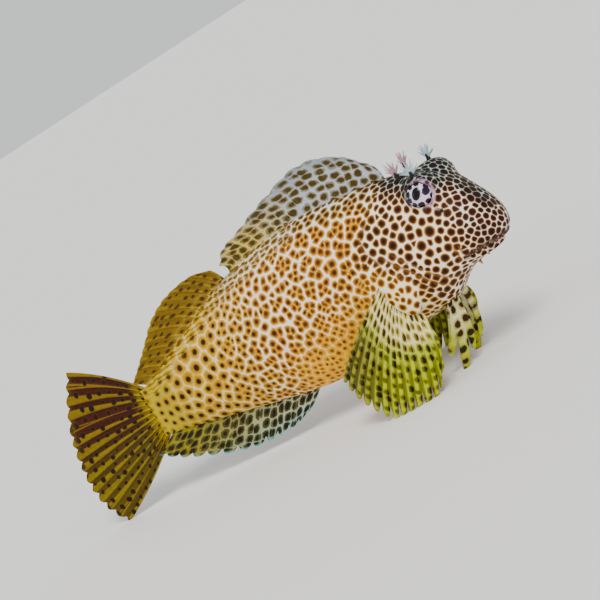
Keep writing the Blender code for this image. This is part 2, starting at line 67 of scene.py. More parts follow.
body = {
    # back point, belly point, half width, level of the widest place, pinch above it and below it
    "stations": [
        ((53.9, 26.5), (53.2, 22.9), 2.6, 0.50, 0.85, 0.85),
        ((53.5, 28.2), (51.1, 21.7), 4.6, 0.48, 0.85, 0.85),
        ((52.5, 30.8), (48.2, 20.6), 6.1, 0.45, 0.85, 0.88),
        ((50.8, 33.9), (45.4, 19.7), 7.4, 0.42, 0.88, 0.92),
        ((48.3, 37.7), (42.4, 18.8), 8.5, 0.41, 0.92, 0.95),
        ((44.6, 40.7), (39.5, 17.1), 9.3, 0.41, 0.98, 0.97),
        ((40.2, 42.7), (36.1, 14.6), 10.0, 0.42, 1.05, 0.98),
        ((34.4, 43.8), (31.2, 13.2), 10.4, 0.45, 1.15, 1.00),
        ((27.2, 44.5), (25.2, 12.2), 10.5, 0.47, 1.22, 1.00),
        ((18.6, 45.1), (17.4, 10.9), 10.2, 0.47, 1.28, 0.97),
        ((9.2, 45.2), (8.6, 9.6), 9.5, 0.46, 1.30, 0.94),
        ((-0.6, 44.0), (-0.6, 9.0), 8.4, 0.46, 1.30, 0.95),
        ((-10.4, 41.5), (-10.4, 9.8), 7.0, 0.48, 1.28, 1.00),
        ((-20.2, 37.8), (-20.2, 11.2), 5.5, 0.50, 1.22, 1.08),
        ((-29.6, 33.8), (-29.6, 12.7), 4.1, 0.50, 1.15, 1.10),
        ((-38.2, 30.0), (-38.4, 14.2), 2.9, 0.50, 1.08, 1.08),
        ((-45.2, 27.6), (-46.0, 15.2), 1.9, 0.50, 1.00, 1.00),
    ],
    "snout": (54.1, 24.7), "snoutBulge": 0.25,
    "tailWedge": 0.9, "tailRound": 0.8,
    "tailPinch": (-37.0, -45.6, 0.6),   # from, to and by how much the end thins
    "tailBend": (5.0, 75.0, 4.6),       # start, length and sway
    "headBend": (28.0, 25.0, 1.6),
    "gillEdge": [(36.0, 45.0), (31.5, 40.5), (27.6, 36.5), (26.8, 33.5), (28.4, 30.6),
                 (31.4, 26.6), (34.6, 22.0), (36.6, 17.0), (37.6, 10.0)],
    "headStations": 8,                  # the rings stand closer together up to this station
    "headRings": 18, "bodyRings": 16, "capRings": 10, "ringPoints": 148,
}
eye = {
    "centre": (43.3, 5.7, 38.3), "radius": 3.0, "socket": 3.27, "mound": 3.7, "moundIn": 0.75,
    "look": (0.2, 1.0, 0.12), "brow": (4.6, 4.4, 4.2), "browIn": 1.5,
    "lid": {"radius": 2.84, "thick": 0.24, "out": 1.42},
}
bothSides = ((-1, "right"), (1, "left"))


def smoothCurve(points, t):
    # Catmull-Rom through the points, for an array of t from 0 to 1
    pts = np.asarray(points, float)
    place = np.clip(np.asarray(t, float), 0, 1) * (len(pts) - 1)
    i = np.minimum(place.astype(int), len(pts) - 2)
    f = (place - i)[..., None]
    padded = np.vstack([2 * pts[0] - pts[1], pts, 2 * pts[-1] - pts[-2]])
    before, a, b, after = (padded[i + k] for k in range(4))
    return 0.5 * (2 * a + (b - before) * f + (2 * before - 5 * a + 4 * b - after) * f ** 2
                  + (3 * a - before - 3 * b + after) * f ** 3)


def easeBetween(low, high, value):
    share = np.clip((np.asarray(value, float) - low) / (high - low), 0, 1)
    return share * share * (3 - 2 * share)


def bendBody(points):
    p = np.asarray(points, float)
    x, y, z = p[..., 0], p[..., 1], p[..., 2]
    tailStart, tailLength, tailSway = body["tailBend"]
    headStart, headLength, headSway = body["headBend"]
    tail = np.maximum(0, tailStart - x) / tailLength
    head = np.maximum(0, x - headStart) / headLength
    offset = -tailSway * tail ** 2 - headSway * head ** 2
    slope = 2 * tailSway * tail / tailLength - 2 * headSway * head / headLength
    size = np.hypot(1, slope)
    return np.stack([x - y * slope / size, offset + y / size, z], axis=-1)


def bodyLevel(edge, x):
    # the height at x of the back, which is edge 0, or of the belly, edge 1
    curve = smoothCurve([station[edge] for station in body["stations"]], np.linspace(0, 1, 400))
    return np.interp(-np.asarray(x), -curve[:, 0], curve[:, 1])


def middleOf(node):
    return np.mean([vertex.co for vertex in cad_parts[node].data.vertices], axis=0) / mm


def mirrored(points, side):
    return np.asarray(points, float) * (1, side, 1)


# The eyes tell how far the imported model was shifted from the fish's own frame
eyePlaces = bendBody([mirrored(eye["centre"], side) for side in (-1, 1)])
shift = (middleOf("eye_right") + middleOf("eye_left")) / 2 - eyePlaces.mean(axis=0)
print("the packed frame lies", [round(float(s), 2) for s in shift], "mm from the fish's own")


def toFrame(points):
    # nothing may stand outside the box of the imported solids
    low, high = np.array(cadBox) + [[hairline], [-hairline]]
    return np.clip((bendBody(points) + shift) * mm, low, high)


# mesh helpers

def deselectAll():
    bpy.ops.object.select_all(action="DESELECT")


def makeActive(obj):
    deselectAll()
    obj.select_set(True)
    bpy.context.view_layer.objects.active = obj


def editWhole(obj, operator, **settings):
    # runs one edit mode operator on the whole mesh
    makeActive(obj)
    bpy.ops.object.mode_set(mode="EDIT")
    bpy.ops.mesh.select_all(action="SELECT")
    operator(**settings)
    bpy.ops.object.mode_set(mode="OBJECT")


def addGrid(name, columns, rows):
    # a flat grid, and for each of its vertices the column and the row that it stands in
    deselectAll()
    bpy.ops.mesh.primitive_grid_add(x_subdivisions=columns - 1, y_subdivisions=rows - 1, size=2)
    obj = bpy.context.object
    obj.name = name
    flat = verticesOf(obj)
    i = np.rint((flat[:, 0] + 1) / 2 * (columns - 1)).astype(int)
    j = np.rint((flat[:, 1] + 1) / 2 * (rows - 1)).astype(int)
    return obj, i, j


def placeVertices(obj, points):
    obj.data.vertices.foreach_set("co", np.asarray(points, np.float32).ravel())
    obj.data.update()


def verticesOf(obj):
    points = np.empty(len(obj.data.vertices) * 3, np.float32)
    obj.data.vertices.foreach_get("co", points)
    return points.reshape(-1, 3).astype(float)


def applyModifier(obj, kind, **settings):
    makeActive(obj)
    made = obj.modifiers.new("step", kind)
    for key, value in settings.items():
        setattr(made, key, value)
    bpy.ops.object.modifier_apply(modifier=made.name)


def addRound(primitive, centre, way, **sizes):
    # a ball or a ring that faces the way, with its place in its mesh
    deselectAll()
    turn = Vector((0, 0, 1)).rotation_difference(Vector(way)).to_euler()
    primitive(location=Vector(centre), rotation=turn, **sizes)
    bpy.ops.object.transform_apply(location=True, rotation=True, scale=True)
    return bpy.context.object


def addAttribute(obj, name, values):
    made = obj.data.attributes.new(name, "FLOAT", "POINT")
    made.data.foreach_set("value", np.asarray(values, np.float32))


def cornerVertices(obj):
    index = np.empty(len(obj.data.loops), np.int32)
    obj.data.loops.foreach_get("vertex_index", index)
    return index


def setUv(obj, name, perCorner):
    layer = obj.data.uv_layers.new(name=name)
    layer.data.foreach_set("uv", np.asarray(perCorner, np.float32).ravel())


def faceValues(obj, what, width=1, kind=np.float32):
    # one number for each face, or a few
    values = np.empty(len(obj.data.polygons) * width, kind)
    obj.data.polygons.foreach_get(what, values)
    return values.reshape(-1, width).squeeze()


def finishPiece(obj, paint, nodes, angle=60):
    obj.data.materials.clear()
    obj.data.materials.append(paint)
    makeActive(obj)
    bpy.ops.object.shade_smooth_by_angle(angle=math.radians(angle))
    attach(obj, "root")
    if nodes:
        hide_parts(*nodes)
    print(obj.name, len(obj.data.polygons), "faces")


# shader helpers

class Signal:
    # wraps one socket of a material, so that its maths reads as plain expressions
    def __init__(self, tree, socket=None):
        self.tree, self.socket = tree, socket

    def make(self, kind, settings, sockets, out=0):
        # adds any node: its settings first, then its sockets' values or links
        made = self.tree.nodes.new(kind)
        for key, value in settings.items():
            if key == "stops":
                ramp = made.color_ramp
                while len(ramp.elements) < len(value):
                    ramp.elements.new(0.5)
                for element, (place, colour) in zip(ramp.elements, value):
                    element.position, element.color = place, (*colour, 1)
            else:
                setattr(made, key, value)
        for key, value in sockets.items():
            if isinstance(value, Signal):
                self.tree.links.new(value.socket, made.inputs[key])
            else:
                made.inputs[key].default_value = value
        if isinstance(out, tuple):
            return [Signal(self.tree, made.outputs[name]) for name in out]
        return Signal(self.tree, made.outputs[out])

    def maths(self, operation, *others):
        return self.make("ShaderNodeMath", {"operation": operation}, dict(enumerate((self, *others))))

    def __add__(self, other):
        return self.maths("ADD", other)

    def __sub__(self, other):
        return self.maths("SUBTRACT", other)

    def __rsub__(self, other):
        return self.make("ShaderNodeMath", {"operation": "SUBTRACT"}, {0: other, 1: self})

    def __mul__(self, other):
        return self.maths("MULTIPLY", other)

    def __truediv__(self, other):
        return self.maths("DIVIDE", other)

    __radd__ = __add__
    __rmul__ = __mul__

    def lengthWith(self, other):
        # the length of an arrow with these two for its sides
        return (self * self + other * other).maths("SQRT")

    def ease(self, low, high):
        # a smooth step from 0 at low to 1 at high
        sockets = {0: self, 1: low, 2: high}
        return self.make("ShaderNodeMapRange", {"interpolation_type": "SMOOTHSTEP"}, sockets)

    def between(self, first, second, blend="MIX"):
        # a colour from first, where this is 0, to second, where it is 1
        first, second = [tone if isinstance(tone, Signal) else (*tone, 1) for tone in (first, second)]
        settings = {"data_type": "RGBA", "blend_type": blend}
        return self.make("ShaderNodeMix", settings, {0: self, 6: first, 7: second}, 2)

    def tinted(self, share, tone):
        # this colour, multiplied by a tone where share is 1
        return share.between(self, tone, "MULTIPLY")

    def ramp(self, stops):
        return self.make("ShaderNodeValToRGB", {"stops": stops}, {0: self}, "Color")

    def vector(self, operation, sockets):
        return self.make("ShaderNodeVectorMath", {"operation": operation}, {0: self, **sockets})

    def attribute(self, name):
        return self.make("ShaderNodeAttribute", {"attribute_name": name}, {}, "Fac")

    def uvMap(self, name):
        return self.make("ShaderNodeUVMap", {"uv_map": name}, {})

    def axes(self):
        return self.make("ShaderNodeSeparateXYZ", {}, {0: self}, (0, 1, 2))

    def objectPoint(self, toTheMetre=1000):
        # the place on the object, in millimetres unless another count is given
        point = self.make("ShaderNodeTexCoord", {}, {}, "Object")
        return self.make("ShaderNodeMapping", {}, {0: point, 3: (toTheMetre,) * 3})

    def noise(self, scale, detail=2.0, roughness=0.5, out=0):
        sockets = {"Vector": self, "Scale": scale, "Detail": detail, "Roughness": roughness}
        return self.make("ShaderNodeTexNoise", {}, sockets, out)

    def cells(self, scale, randomness, feature="F1", out="Distance", dimensions="3D"):
        settings = {"feature": feature, "voronoi_dimensions": dimensions}
        sockets = {"Vector": self, "Scale": scale, "Randomness": randomness}
        return self.make("ShaderNodeTexVoronoi", settings, sockets, out)

    def bump(self, depth):
        return self.make("ShaderNodeBump", {}, {"Height": self, "Distance": depth * mm})


softGrey = (0.45, 0.42, 0.40)


def newPaint(name):
    # an empty material, and the signal that its nodes hang on
    paint = bpy.data.materials.new(name)
    paint.use_nodes = True
    return paint, Signal(paint.node_tree)


def wire(paint, **inputs):
    # sets or links the Principled shader's sockets, named with spaces taken out
    shader = paint.node_tree.nodes["Principled BSDF"]
    names = {socket.name.replace(" ", ""): socket for socket in shader.inputs}
    for key, value in inputs.items():
        if isinstance(value, Signal):
            paint.node_tree.links.new(value.socket, names[key])
        elif isinstance(value, tuple):
            names[key].default_value = (*value, 1)
        else:
            names[key].default_value = value


# skin: head, trunk and tail in one

skin = {
    "name": "skin",
    "mouth": {"axisX": 45.5, "cornerZ": 22.1, "frontZ": 21.95, "turn": 96, "lip": 0.95, "lipCorner": 0.45,
              "groove": (0.27, 0.8)},   # width and depth of the line between the lips
    "lips": {"gape": 0.0, "upper": 0.45, "lower": -0.45}, "sunk": {"upper": 0.56, "lower": 0.22},
    "shoulder": {"centre": (28.0, 9.9, 23.2), "radii": (4.6, 2.3, 7.6), "lean": -24, "out": 8, "sunk": 0.35},
    "blends": {"brow": 0.8, "mound": 1.6, "shoulder": 1.2, "lip": 0.25},   # how softly each form joins
    "rise": (-0.6, 5.0), "halvings": 18,   # how far forms may stand out, and how finely that is sought
    "gillStep": (0.21, 3.0, 1.2),          # its height, and its widths before and behind the edge
    "evened": (7.5, 4.5), "rounds": 6,     # how far round the eye the grid is evened out, and how often
    # folds behind the mouth and under the gill cover, as points of x and z, with width and depth
    "creases": [([(44.7, 27.4), (44.6, 25.6), (44.3, 23.8), (43.5, 22.4)], 0.42, 0.26),
                ([(45.6, 26.2), (45.5, 24.6), (45.3, 23.6)], 0.30, 0.16),
                ([(28.6, 32.4), (31.0, 29.2), (34.2, 25.2), (37.2, 20.6), (39.4, 17.8)], 0.45, 0.22),
                ([(30.8, 32.0), (33.4, 28.8), (36.6, 24.6), (39.6, 20.6), (41.8, 18.6)], 0.40, 0.16)],
    "nostril": {"start": (42.0, 0.0, 31.6), "turn": 60, "rise": 0.25, "radius": 0.38, "rim": 0.13},
    "streaks": {"across": (-0.12, 0.99), "pitch": 0.95},
    "barbel": {"x": 44.4, "y": 1.8, "sunk": 1.2, "way": (0.45, 0.35, -1.0), "length": 2.0,
               "radii": [0.44, 0.34, 0.16]},
}
spots = {
    # half a line between spots, what a group's border adds, and a spot's radius, counted in spots
    "shapes": {
        "trunk": (-0.014, 0.150, 0.570), "tail": (0.018, 0.085, 0.530), "end": (0.040, 0.0, 0.450),
        "belly": (-0.010, 0.0, 0.600), "back": (0.020, 0.040, 0.500), "breast": (0.060, 0.0, 0.430),
        "head": (0.060, 0.0, 0.440), "snout": (0.042, 0.0, 0.490), "crown": (0.022, 0.0, 0.520),
    },
    "group": 2.25, "gather": 0.17,    # a group's width in spots, and how far its spots draw together
    "seed": 11, "rounds": 8,          # how often the spots push each other apart
    "uneven": (0.07, 0.10),           # how far sizes differ on the trunk, and how much more on the head
    "lineUneven": 0.25,               # and how far the widths of the lines differ
    "measured": 5, "neighbours": 10,  # how many near spots give a spot its size, and its shape
    "rivals": 6,                      # how many spots may claim a face
    "soft": 0.035, "golden": -0.015,  # how round the corners are, and the depth of lines inside a group
}
zoneOrder = ["tail", "end", "belly", "back", "breast", "head", "snout", "crown"]
markOrder = ["lip", "gape", "gill", "crease", "streak", "nostril", "eye"]
skinColours = {
    # depth in spots, from the net below 0 to a spot's heart, and the colour there
    "head": [(-0.12, (0.90, 0.87, 0.84)), (-0.06, (0.84, 0.74, 0.50)), (-0.01, (0.48, 0.29, 0.075)),
             (0.05, (0.20, 0.080, 0.010)), (0.13, (0.070, 0.020, 0.003)), (0.25, (0.022, 0.005, 0.001))],
    "snout": [(-0.10, (0.68, 0.73, 0.74)), (-0.04, (0.62, 0.54, 0.44)), (0.01, (0.23, 0.09, 0.026)),
              (0.07, (0.075, 0.020, 0.004)), (0.17, (0.018, 0.004, 0.001))],
    "crown": [(-0.08, (0.34, 0.43, 0.41)), (-0.035, (0.16, 0.18, 0.155)), (0.01, (0.044, 0.032, 0.018)),
              (0.08, (0.006, 0.004, 0.003))],
    "trunk": [(-0.13, (0.88, 0.84, 0.82)), (-0.08, (0.85, 0.68, 0.52)), (-0.030, (0.76, 0.46, 0.17)),
              (0.02, (0.56, 0.29, 0.010)), (0.11, (0.37, 0.150, 0.003)), (0.27, (0.20, 0.058, 0.001))],
    "back": [(-0.14, (0.66, 0.72, 0.80)), (-0.05, (0.57, 0.54, 0.48)), (0.03, (0.34, 0.22, 0.04)),
             (0.14, (0.17, 0.085, 0.005)), (0.30, (0.085, 0.038, 0.002))],
    "tail": [(-0.12, (0.76, 0.61, 0.40)), (-0.04, (0.66, 0.45, 0.05)), (0.04, (0.50, 0.29, 0.001)),
             (0.18, (0.36, 0.17, 0.0005))],
    "end": [(-0.12, (0.44, 0.33, 0.0)), (-0.02, (0.43, 0.32, 0.0)), (0.08, (0.35, 0.24, 0.0)),
            (0.20, (0.27, 0.17, 0.0))],
    # the belly's own yellow, made brighter as painted light that offsets the shade on the underside
    "belly": [(-0.10, (0.90, 0.54, 0.0)), (0.0, (0.87, 0.46, 0.0)), (0.14, (0.74, 0.32, 0.0))],
    "breast": [(-0.12, (0.90, 0.86, 0.66)), (-0.03, (0.80, 0.62, 0.15)), (0.03, (0.58, 0.31, 0.01)),
               (0.12, (0.23, 0.075, 0.004)), (0.28, (0.055, 0.014, 0.001))],
}


def eyeLook(side=1):
    return Vector(mirrored(eye["look"], side)).normalized()


def moundCentre():
    return Vector(eye["centre"]) - eyeLook() * eye["moundIn"]


def sectionPoints(sections, turns):
    # points of the straight half body, with turn 0 at the back and pi at the belly
    backX, backZ, bellyX, bellyZ, half, widest, above, below = np.moveaxis(sections[..., None, :], -1, 0)
    up = np.cos(turns)[None, :]
    share = np.where(up >= 0, widest + (1 - widest) * up, widest * (1 + up))
    pinch = np.where(up >= 0, above, below)
    y = half * np.abs(np.sin(turns)[None, :]) ** pinch
    return np.stack([bellyX + (backX - bellyX) * share, y, bellyZ + (backZ - bellyZ) * share], axis=-1)


def halfBodyGrid():
    # rings from the snout's tip to the tail's end, where a wedge closes them
    keys = np.array([[*back, *belly, *rest] for back, belly, *rest in body["stations"]])
    last, change = len(keys) - 1, body["headStations"]
    head = np.linspace(0, change, change * body["headRings"], endpoint=False)
    rest = np.linspace(change, last, (last - change) * body["bodyRings"] + 1)
    turns = np.linspace(0, math.pi, body["ringPoints"])
    points = sectionPoints(smoothCurve(keys, np.concatenate([head, rest]) / last), turns)
    start, end, pinch = body["tailPinch"]
    points[..., 1] *= 1 - pinch * easeBetween(start, end, points[..., 0])

    share = np.linspace(0, 1, body["capRings"], endpoint=False)[:, None]
    tip = np.array([body["snout"][0], 0, body["snout"][1]])
    front = tip + (points[0] - tip) * share[..., None]
    front[..., 0] += body["snoutBulge"] * np.sin(math.pi * share)
    left = share[::-1]
    x, y, z = points[-1].T
    rear = [x - body["tailWedge"] * (1 - left), y * left ** body["tailRound"], z + 0 * left]
    return np.concatenate([front, points, np.stack(rear, axis=-1)])


def outwardNormals(grid):
    along = np.gradient(grid, axis=0)
    around = np.gradient(grid, axis=1)
    normal = np.cross(along, around)
    size = np.linalg.norm(normal, axis=2, keepdims=True)
    normal = normal / np.maximum(size, 1e-9)
    middle = grid.mean(axis=1, keepdims=True) * (1, 0, 1)
    facing = np.sign((normal * (grid - middle)).sum(axis=2, keepdims=True))
    facing[facing == 0] = 1
    return normal * facing


def softLeast(a, b, width):
    # the lesser of the two, rounded off where they differ by less than width
    near = np.maximum(width - np.abs(a - b), 0) / width
    return np.minimum(a, b) - near ** 2 * width / 4


def nearestOnPath(points, path):
    # distance from each point to a path, and the share of the path at the nearest place
    best = np.full(points.shape[:-1], 1e9)
    share = np.zeros(points.shape[:-1])
    for k, (a, b) in enumerate(zip(path, path[1:])):
        line = b - a
        f = np.clip(((points - a) @ line) / (line @ line), 0, 1)
        gap = np.linalg.norm(points - a - f[..., None] * line, axis=-1)
        closer = gap < best
        best = np.where(closer, gap, best)
        share = np.where(closer, (k + f) / (len(path) - 1), share)
    return best, share


def gridTree(grid):
    rows, columns = grid.shape[:2]
    number = np.arange(rows * columns).reshape(rows, columns)
    corners = (number[:-1, :-1], number[:-1, 1:], number[1:, 1:], number[1:, :-1])
    faces = np.stack(corners, axis=-1).reshape(-1, 4)
    return BVHTree.FromPolygons(grid.reshape(-1, 3).tolist(), faces.tolist())


def creaseDepths(points):
    # how far each point belongs to a fold of the skin, and how deep the folds are there
    share, depth = np.zeros(points.shape[:-1]), np.zeros(points.shape[:-1])
    for keys, width, deep in skin["creases"]:
        gap, along = nearestOnPath(points[..., [0, 2]], smoothCurve(keys, np.linspace(0, 1, 16)))
        here = np.exp(-(gap / width) ** 2) * np.sin(math.pi * np.clip(along, 0.08, 0.92)) ** 0.5
        here = here * easeBetween(2.0, 4.0, points[..., 1])
        share, depth = np.maximum(share, here), depth + deep * here
    return share, depth


def mouthPaths(grid):
    # three paths round the snout: the gape, and the rolls of the upper and the lower lip
    tree = gridTree(grid)
    mouth = skin["mouth"]
    paths = {name: [] for name in skin["lips"]}
    for away in np.linspace(0, 1, 25):
        turn = math.radians(max(mouth["turn"] * away, 0.3))
        way = Vector((math.cos(turn), math.sin(turn), 0))
        level = mouth["frontZ"] + (mouth["cornerZ"] - mouth["frontZ"]) * away ** 2
        fullness = 1 + 0.6 * math.sin(math.pi * away) + 0.05 * away ** 2
        for name, rise in skin["lips"].items():
            start = Vector((mouth["axisX"], 0.0, level + rise * fullness))
            paths[name].append(np.array(tree.ray_cast(start, way)[0]))
    return {name: np.array(path) for name, path in paths.items()}


def raiseFeatures(grid):
    # lifts the brows, lips and shoulders out of the plain body, along its own normals
    normal = outwardNormals(grid)
    paths = mouthPaths(grid)
    mouth, shoulder, blend = skin["mouth"], skin["shoulder"], skin["blends"]
    mound = np.array(moundCentre())
    brow = mound - np.array(eyeLook()) * eye["browIn"]
    lean = Matrix.Rotation(math.radians(shoulder["lean"]), 3, "Y")
    out = Matrix.Rotation(math.radians(shoulder["out"]), 3, "Z")
    turnBack = np.array((out @ lean).inverted())

    def depthAt(height):
        # how far outside all the forms the grid is once it is raised by height
        p = grid + normal * height[..., None]
        ball = np.linalg.norm(p - mound, axis=-1) - eye["mound"]
        swell = (np.linalg.norm((p - brow) / eye["brow"], axis=-1) - 1) * min(eye["brow"])
        found = softLeast(height, softLeast(ball, swell, blend["brow"]), blend["mound"])
        local = (p - shoulder["centre"]) @ turnBack.T
        pad = (np.linalg.norm(local / shoulder["radii"], axis=-1) - 1) * shoulder["radii"][1]
        found = softLeast(found, pad + shoulder["sunk"], blend["shoulder"])
        for name, sunk in skin["sunk"].items():
            gap, share = nearestOnPath(p, paths[name])
            radius = mouth["lip"] + (mouth["lipCorner"] - mouth["lip"]) * share ** 2
            found = softLeast(found, gap + sunk + 0.25 * share ** 4 - radius, blend["lip"])
        return found

    low, high = [np.full(grid.shape[:2], rise) for rise in skin["rise"]]
    for _ in range(skin["halvings"]):
        middle = (low + high) / 2
        outside = depthAt(middle) > 0
        high = np.where(outside, middle, high)
        low = np.where(outside, low, middle)
    gap, share = nearestOnPath(grid, paths["gape"])
    width, deep = mouth["groove"]
    height = (low + high) / 2 - deep * np.exp(-(gap / width) ** 2) * (1 - 0.5 * share ** 3)
    height -= creaseDepths(grid)[1]
    return grid + normal * height[..., None], paths


def evenOut(grid, weight, rounds):
    # evens out the spacing of the grid where weight is 1
    for _ in range(rounds):
        near = grid.copy()
        near[1:-1, 1:-1] = (grid[2:, 1:-1] + grid[:-2, 1:-1] + grid[1:-1, 2:] + grid[1:-1, :-2]) / 4
        near[1:-1, 0] = (grid[2:, 0] + grid[:-2, 0] + 2 * grid[1:-1, 1] * (1, 0, 1)) / 4
        near[..., 1] = np.where(grid[..., 1] == 0, 0, near[..., 1])
        grid = grid + (near - grid) * weight[..., None] * 0.5
    return grid


def gillDistance(points):
    # signed distance before the gill edge, in the side view
    path = smoothCurve(body["gillEdge"], np.linspace(0, 1, 40))
    flat = points[..., [0, 2]]
    order = np.argsort(path[:, 1])
    edgeX = np.interp(flat[..., 1], path[order, 1], path[order, 0])
    return nearestOnPath(flat, path)[0] * np.sign(flat[..., 0] - edgeX)


def stepAtGill(grid):
    # the gill cover stands a little proud of the skin behind it
    height, before, behind = skin["gillStep"]
    ahead = gillDistance(grid)
    step = np.where(ahead > 0, np.exp(-ahead / before), -np.exp(ahead / behind))
    step = step * height * easeBetween(1.5, 4.0, grid[..., 1])
    return grid + outwardNormals(grid) * step[..., None]


def spotDensity(points, ahead):
    # spots to the millimetre over each part of the fish
    x, z = points[..., 0], points[..., 2]
    trunk = 0.57 - 0.215 * easeBetween(-6, -26, x) + 0.04 * easeBetween(-36, -45, x)
    trunk = trunk + 0.04 * easeBetween(20, 12, z) * easeBetween(-6, 6, x)
    trunk = trunk - 0.12 * easeBetween(30, 24, z) * easeBetween(20, 27, x)
    head = 0.50 + 0.15 * easeBetween(42, 52, x) + 0.11 * easeBetween(35, 42, z + 0.35 * (x - 44))
    head = head + 0.10 * easeBetween(21, 15, z) + 0.06 * easeBetween(38, 32, x)
    return trunk + (head - trunk) * easeBetween(-5, 1.5, ahead)


def skinZones(points):
    # how far each point belongs to each coloured part of the fish; what is left is trunk
    x, y, z = np.moveaxis(points, -1, 0)
    ahead = gillDistance(points)
    head = easeBetween(-6, 2, ahead + 1.2 * np.sin(z / 2.3))
    tail = easeBetween(-2, -24, x - 0.2 * (z - 26) + 1.6 * np.sin(z / 3.1))
    edge = easeBetween(-4.5, -0.8, z - bodyLevel(0, x))
    top = easeBetween(36, 41, z + 0.35 * (x - 44)) * easeBetween(24, 34, x)
    middle = easeBetween(4.2, 1.6, np.abs(y)) * easeBetween(26, 31, z)
    return {
        "tail": tail,
        "end": easeBetween(-28, -42, x),
        # the belly zone carries the belly's yellow and painted light that brightens the underside
        "belly": easeBetween(28, 15, z - 0.25 * (x - 10)) * easeBetween(-12, 0, x) * easeBetween(30, 25, x),
        "back": edge * easeBetween(-24, -8, x) * easeBetween(36, 30, x),
        "breast": easeBetween(31, 25, z) * easeBetween(20, 26, x) * easeBetween(0.5, -2.5, ahead),
        "head": head,
        "snout": easeBetween(44.0, 51.5, x + 0.1 * (z - 26)) * head * 0.9,
        "crown": np.maximum(top, 0.8 * middle) * head,
    }


def nearestSeeds(seeds, points, count):
    # the numbers of the nearest few seeds of each point, nearest first
    tree = KDTree(len(seeds))
    for k, seed in enumerate(seeds):
        tree.insert(seed, k)
    tree.balance()
    return np.array([[found[1] for found in tree.find_n(point, count)] for point in points])


def spreadSeeds(points, areas, density, count, draw):
    # starts at random places and moves each seed to the middle of what lies nearest to it
    chance, pull = areas * density ** 2, areas * density ** 4
    seeds = points[draw.choice(len(points), count, replace=False, p=chance / chance.sum())]
    for _ in range(spots["rounds"]):
        owner = nearestSeeds(seeds, points, 1)[:, 0]
        total = np.maximum(np.bincount(owner, pull, count), 1e-9)[:, None]
        seeds = np.stack([np.bincount(owner, pull * axis, count) for axis in points.T], axis=1) / total
    return seeds


def placeSeeds(centres, areas, draw):
    # the hearts of the spots, the group of each, and how far each belongs to each zone
    density = spotDensity(centres, gillDistance(centres))
    count = int((areas * density ** 2).sum())
    some = [values[::3] for values in (centres, areas, density)]     # every third face is enough
    seeds = spreadSeeds(*some, count, draw)
    groups = spreadSeeds(*some, int(count / spots["group"] ** 2), draw)
    group = nearestSeeds(groups, seeds, 1)[:, 0]
    zones = skinZones(seeds)
    drawn = spots["gather"] * (1 - zones["head"]) * (1 - zones["tail"])
    print(count, "spots in", len(groups), "groups")
    return seeds + (groups[group] - seeds) * drawn[:, None], group, zones


def paintSpots(obj):
    # gives every corner of a face its depth in the spot that owns the face, its distance from
    # the spot's heart and two random numbers of the spot, while the fish is straight
    draw = np.random.RandomState(spots["seed"])
    centres = faceValues(obj, "center", 3).astype(float)
    areas = faceValues(obj, "area").astype(float)
    seeds, group, zones = placeSeeds(centres, areas, draw)
    near = nearestSeeds(seeds, seeds, spots["neighbours"] + 1)[:, 1:]
    gaps = np.linalg.norm(seeds[near[:, :spots["measured"]]] - seeds[:, None], axis=2)
    pitch = gaps.mean(axis=1)

    plain = np.array(spots["shapes"]["trunk"])
    shape = np.repeat([plain], len(seeds), axis=0)
    for zone in zoneOrder:
        shape = shape + zones[zone][:, None] * (spots["shapes"][zone] - shape)
    line, border, radius = shape.T
    luck = draw.rand(len(seeds), 4)
    share = (2 * luck[:, 0] - 1) * (spots["uneven"][0] + spots["uneven"][1] * zones["head"])
    size, weight = pitch * (1 + share), pitch ** 2 * share
    uneven = 1 + spots["lineUneven"] * (1 - 2 * luck[:, :1])
    width = (line[:, None] + border[:, None] * (group[:, None] != group[near])) * uneven

    # the spots share out the faces by their weights
    rivals = nearestSeeds(seeds, centres, spots["rivals"])
    claims = ((centres[:, None] - seeds[rivals]) ** 2).sum(axis=2) - weight[rivals]
    owner = rivals[np.arange(len(rivals)), claims.argmin(axis=1)]
    seedOf = np.repeat(owner, faceValues(obj, "loop_total", kind=np.int32))

    # a corner's depth is its soft distance from the lines towards all the neighbours
    place = verticesOf(obj)[cornerVertices(obj)]
    mine, mineSize = seeds[seedOf], size[seedOf]
    reach = np.linalg.norm(place - mine, axis=1) / mineSize
    total, outside = np.zeros(len(place)), np.full(len(place), 9.0)
    for k in range(spots["neighbours"]):
        rival = near[seedOf, k]
        gap = ((place - seeds[rival]) ** 2).sum(axis=1) - ((place - mine) ** 2).sum(axis=1)
        gap = (gap + weight[seedOf] - weight[rival]) / (2 * np.linalg.norm(seeds[rival] - mine, axis=1))
        gap = gap / mineSize - width[seedOf, k]
        kin = group[rival] == group[seedOf]
        gap = np.where(kin & (border[seedOf] > 0.03), np.maximum(gap, spots["golden"]), gap)
        total += np.exp(-gap / spots["soft"])
        outside = np.where(kin, outside, np.minimum(outside, gap))
    # a spot is round only towards other groups, so that no hole opens inside its own
    room = np.clip(outside - 0.06, 0, 0.5) * border[seedOf] / plain[1]
    total += np.exp(-(radius[seedOf] + room - reach) / spots["soft"])
    depth = -spots["soft"] * np.log(total)
    setUv(obj, "spotDepth", np.stack([depth, reach], axis=1))
    setUv(obj, "spotLuck", luck[seedOf, 1:3])


def findNostril(grid):
    # where a line from inside the snout leaves the skin, and which way the skin faces there
    shape = skin["nostril"]
    turn = math.radians(shape["turn"])
    way = Vector((math.cos(turn), math.sin(turn), shape["rise"]))
    place, opening = gridTree(grid).ray_cast(Vector(shape["start"]), way)[:2]
    return place, opening * math.copysign(1, opening.y)


